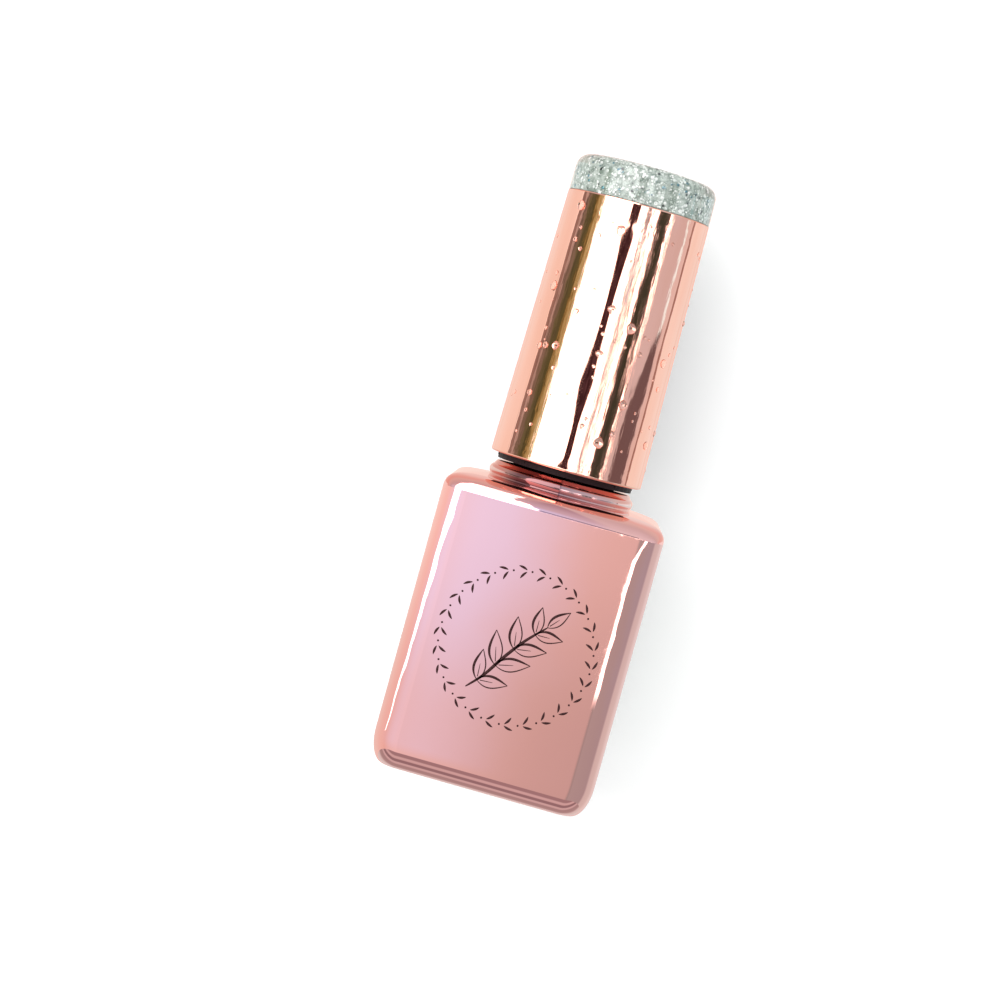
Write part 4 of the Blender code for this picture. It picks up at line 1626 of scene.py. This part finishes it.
def studio_world(settings):
    """Even light for matt surfaces, white behind everything, and strips of cards for mirrors."""
    world = bpy.data.worlds.new("soft_studio")
    world.use_nodes = True
    world.node_tree.nodes.clear()
    tree = Tree(world.node_tree)
    path = tree.add("LightPath")
    mirrors = tree.add("Background", Color=Sky(tree).joined(), Strength=1.0)
    matt = tree.add("Background", Color=(1.0, 1.0, 1.0), Strength=settings.room_light)
    behind = tree.add("Background", Color=(1.0, 1.0, 1.0), Strength=1.0)
    lit = tree.add("MixShader", Fac=path.outputs["Is Diffuse Ray"])
    tree.put(lit.inputs[1], mirrors.outputs[0])
    tree.put(lit.inputs[2], matt.outputs[0])
    seen = tree.add("MixShader", Fac=path.outputs["Is Camera Ray"])
    tree.put(seen.inputs[1], lit.outputs[0])
    tree.put(seen.inputs[2], behind.outputs[0])
    output = tree.add("OutputWorld")
    tree.put(output.inputs["Surface"], seen.outputs[0])
    bpy.context.scene.world = world


def stage_object(name, shape, material):
    """A new object of the stage, from a bmesh in millimetres."""
    bmesh.ops.scale(shape, vec=(MM, MM, MM), verts=shape.verts)
    mesh = bpy.data.meshes.new(name)
    shape.to_mesh(mesh)
    shape.free()
    mesh.materials.append(material)
    obj = bpy.data.objects.new(name, mesh)
    bpy.context.scene.collection.objects.link(obj)
    return obj


def sheet_material(settings):
    """White paper that lets the view through from behind."""
    material, tree, shader = new_material(
        "paper_sheet",
        Roughness=0.9,
        Specular_IOR_Level=0.0,
        Emission_Color=(1.0, 1.0, 1.0),
        Emission_Strength=0.18,
    )
    grain = effect(tree, build_moulded_grain, Colour=tuple(settings.sheet_colour), Scale=0.02, Variation=0.02)
    tree.put(shader.inputs["Base Color"], grain.outputs["Colour"])
    clear = tree.add("BsdfTransparent")
    sides = tree.add("MixShader", Fac=tree.add("NewGeometry").outputs["Backfacing"])
    tree.put(sides.inputs[1], shader.outputs[0])
    tree.put(sides.inputs[2], clear.outputs[0])
    output = material.node_tree.nodes["Material Output"]
    tree.put(output.inputs["Surface"], sides.outputs[0])
    return material


class POLISHBOTTLE_OT_studio(bpy.types.Operator):
    """Set up the sheet, the reflected light, the soft lamp and the camera"""

    bl_idname = "polish_bottle.studio"
    bl_label = "Studio"

    sheet_half = 900.0
    lamp_width = math.radians(50)
    lamp_heading = Vector((0.62, 0.72, -0.32))
    camera_place = Vector((-0.1, -350.0, 56.99))
    camera_pan, camera_tilt, camera_roll = 0.02109, -0.05661, 0.27184  # radians
    camera_lens, camera_sensor = 92.79, 36.0

    def execute(self, context):
        settings = context.scene.polish_studio
        studio_world(settings)
        self.sheet(settings)
        self.lamp(settings)
        self.camera()
        context.scene.view_settings.view_transform = "Standard"
        return {"FINISHED"}

    def sheet(self, settings):
        """The sheet that the bottle lies on, behind its back."""
        half = self.sheet_half
        back = BODY_HALF + settings.sheet_gap / MM
        shape = bmesh.new()
        corners = ((-half, -half), (half, -half), (half, half), (-half, half))
        shape.faces.new([shape.verts.new((x, back, z)) for x, z in corners])
        obj = stage_object("sheet", shape, sheet_material(settings))
        obj.visible_glossy = False

    def lamp(self, settings):
        """One broad lamp from the upper left, which mirrors don't show."""
        data = bpy.data.lights.new("soft_lamp", "SUN")
        data.energy = settings.lamp_light
        data.angle = self.lamp_width
        lamp = bpy.data.objects.new("soft_lamp", data)
        bpy.context.scene.collection.objects.link(lamp)
        lamp.rotation_mode = "QUATERNION"
        lamp.rotation_quaternion = self.lamp_heading.to_track_quat("-Z", "Y")
        lamp.visible_glossy = False

    def camera(self):
        """Level with the cap, a little turned and rolled."""
        data = bpy.data.cameras.new("camera")
        data.sensor_width = self.camera_sensor
        data.lens = self.camera_lens
        camera = bpy.data.objects.new("camera", data)
        bpy.context.scene.collection.objects.link(camera)
        place = Matrix.Translation(self.camera_place * MM)
        pan = Matrix.Rotation(self.camera_pan, 4, "Z")
        tilt = Matrix.Rotation(math.pi / 2 + self.camera_tilt, 4, "X")
        roll = Matrix.Rotation(self.camera_roll, 4, "Z")
        camera.matrix_world = place @ pan @ tilt @ roll
        bpy.context.scene.camera = camera


# ---------------------------------------------------------------- panel and registration

BUILD_STEPS = (
    POLISHBOTTLE_OT_glass,
    POLISHBOTTLE_OT_print,
    POLISHBOTTLE_OT_sleeve,
    POLISHBOTTLE_OT_end_cap,
    POLISHBOTTLE_OT_water_beads,
    POLISHBOTTLE_OT_bristles,
    POLISHBOTTLE_OT_inner_parts,
    POLISHBOTTLE_OT_studio,
)


class POLISHBOTTLE_PT_panel(bpy.types.Panel):
    """Lists the pieces of the bottle and the studio"""

    bl_idname = "POLISHBOTTLE_PT_panel"
    bl_label = "Polish Bottle"
    bl_space_type = "VIEW_3D"
    bl_region_type = "UI"
    bl_category = "Polish Bottle"

    def draw(self, context):
        for step in BUILD_STEPS:
            self.layout.operator(step.bl_idname)
        for settings in SETTINGS:
            group = getattr(context.scene, settings)
            box = self.layout.box()
            for name in group.bl_rna.properties.keys():
                if name not in ("rna_type", "name"):
                    box.prop(group, name)


SETTINGS = {
    "polish_glass": BottleSettings,
    "polish_cap": CapSettings,
    "polish_brush": BrushSettings,
    "polish_studio": StudioSettings,
}


def register():
    for name, settings in SETTINGS.items():
        bpy.utils.register_class(settings)
        setattr(bpy.types.Scene, name, bpy.props.PointerProperty(type=settings))
    for step in BUILD_STEPS:
        bpy.utils.register_class(step)
    bpy.utils.register_class(POLISHBOTTLE_PT_panel)


def unregister():
    bpy.utils.unregister_class(POLISHBOTTLE_PT_panel)
    for step in reversed(BUILD_STEPS):
        bpy.utils.unregister_class(step)
    for name, settings in reversed(SETTINGS.items()):
        delattr(bpy.types.Scene, name)
        bpy.utils.unregister_class(settings)


def main():
    register()
    bpy.ops.polish_bottle.glass()
    bpy.ops.polish_bottle.front_print()
    bpy.ops.polish_bottle.sleeve()
    bpy.ops.polish_bottle.end_cap()
    bpy.ops.polish_bottle.water_beads()
    bpy.ops.polish_bottle.bristles()
    bpy.ops.polish_bottle.inner_parts()
    bpy.ops.polish_bottle.studio()


if __name__ == "__main__":
    main()
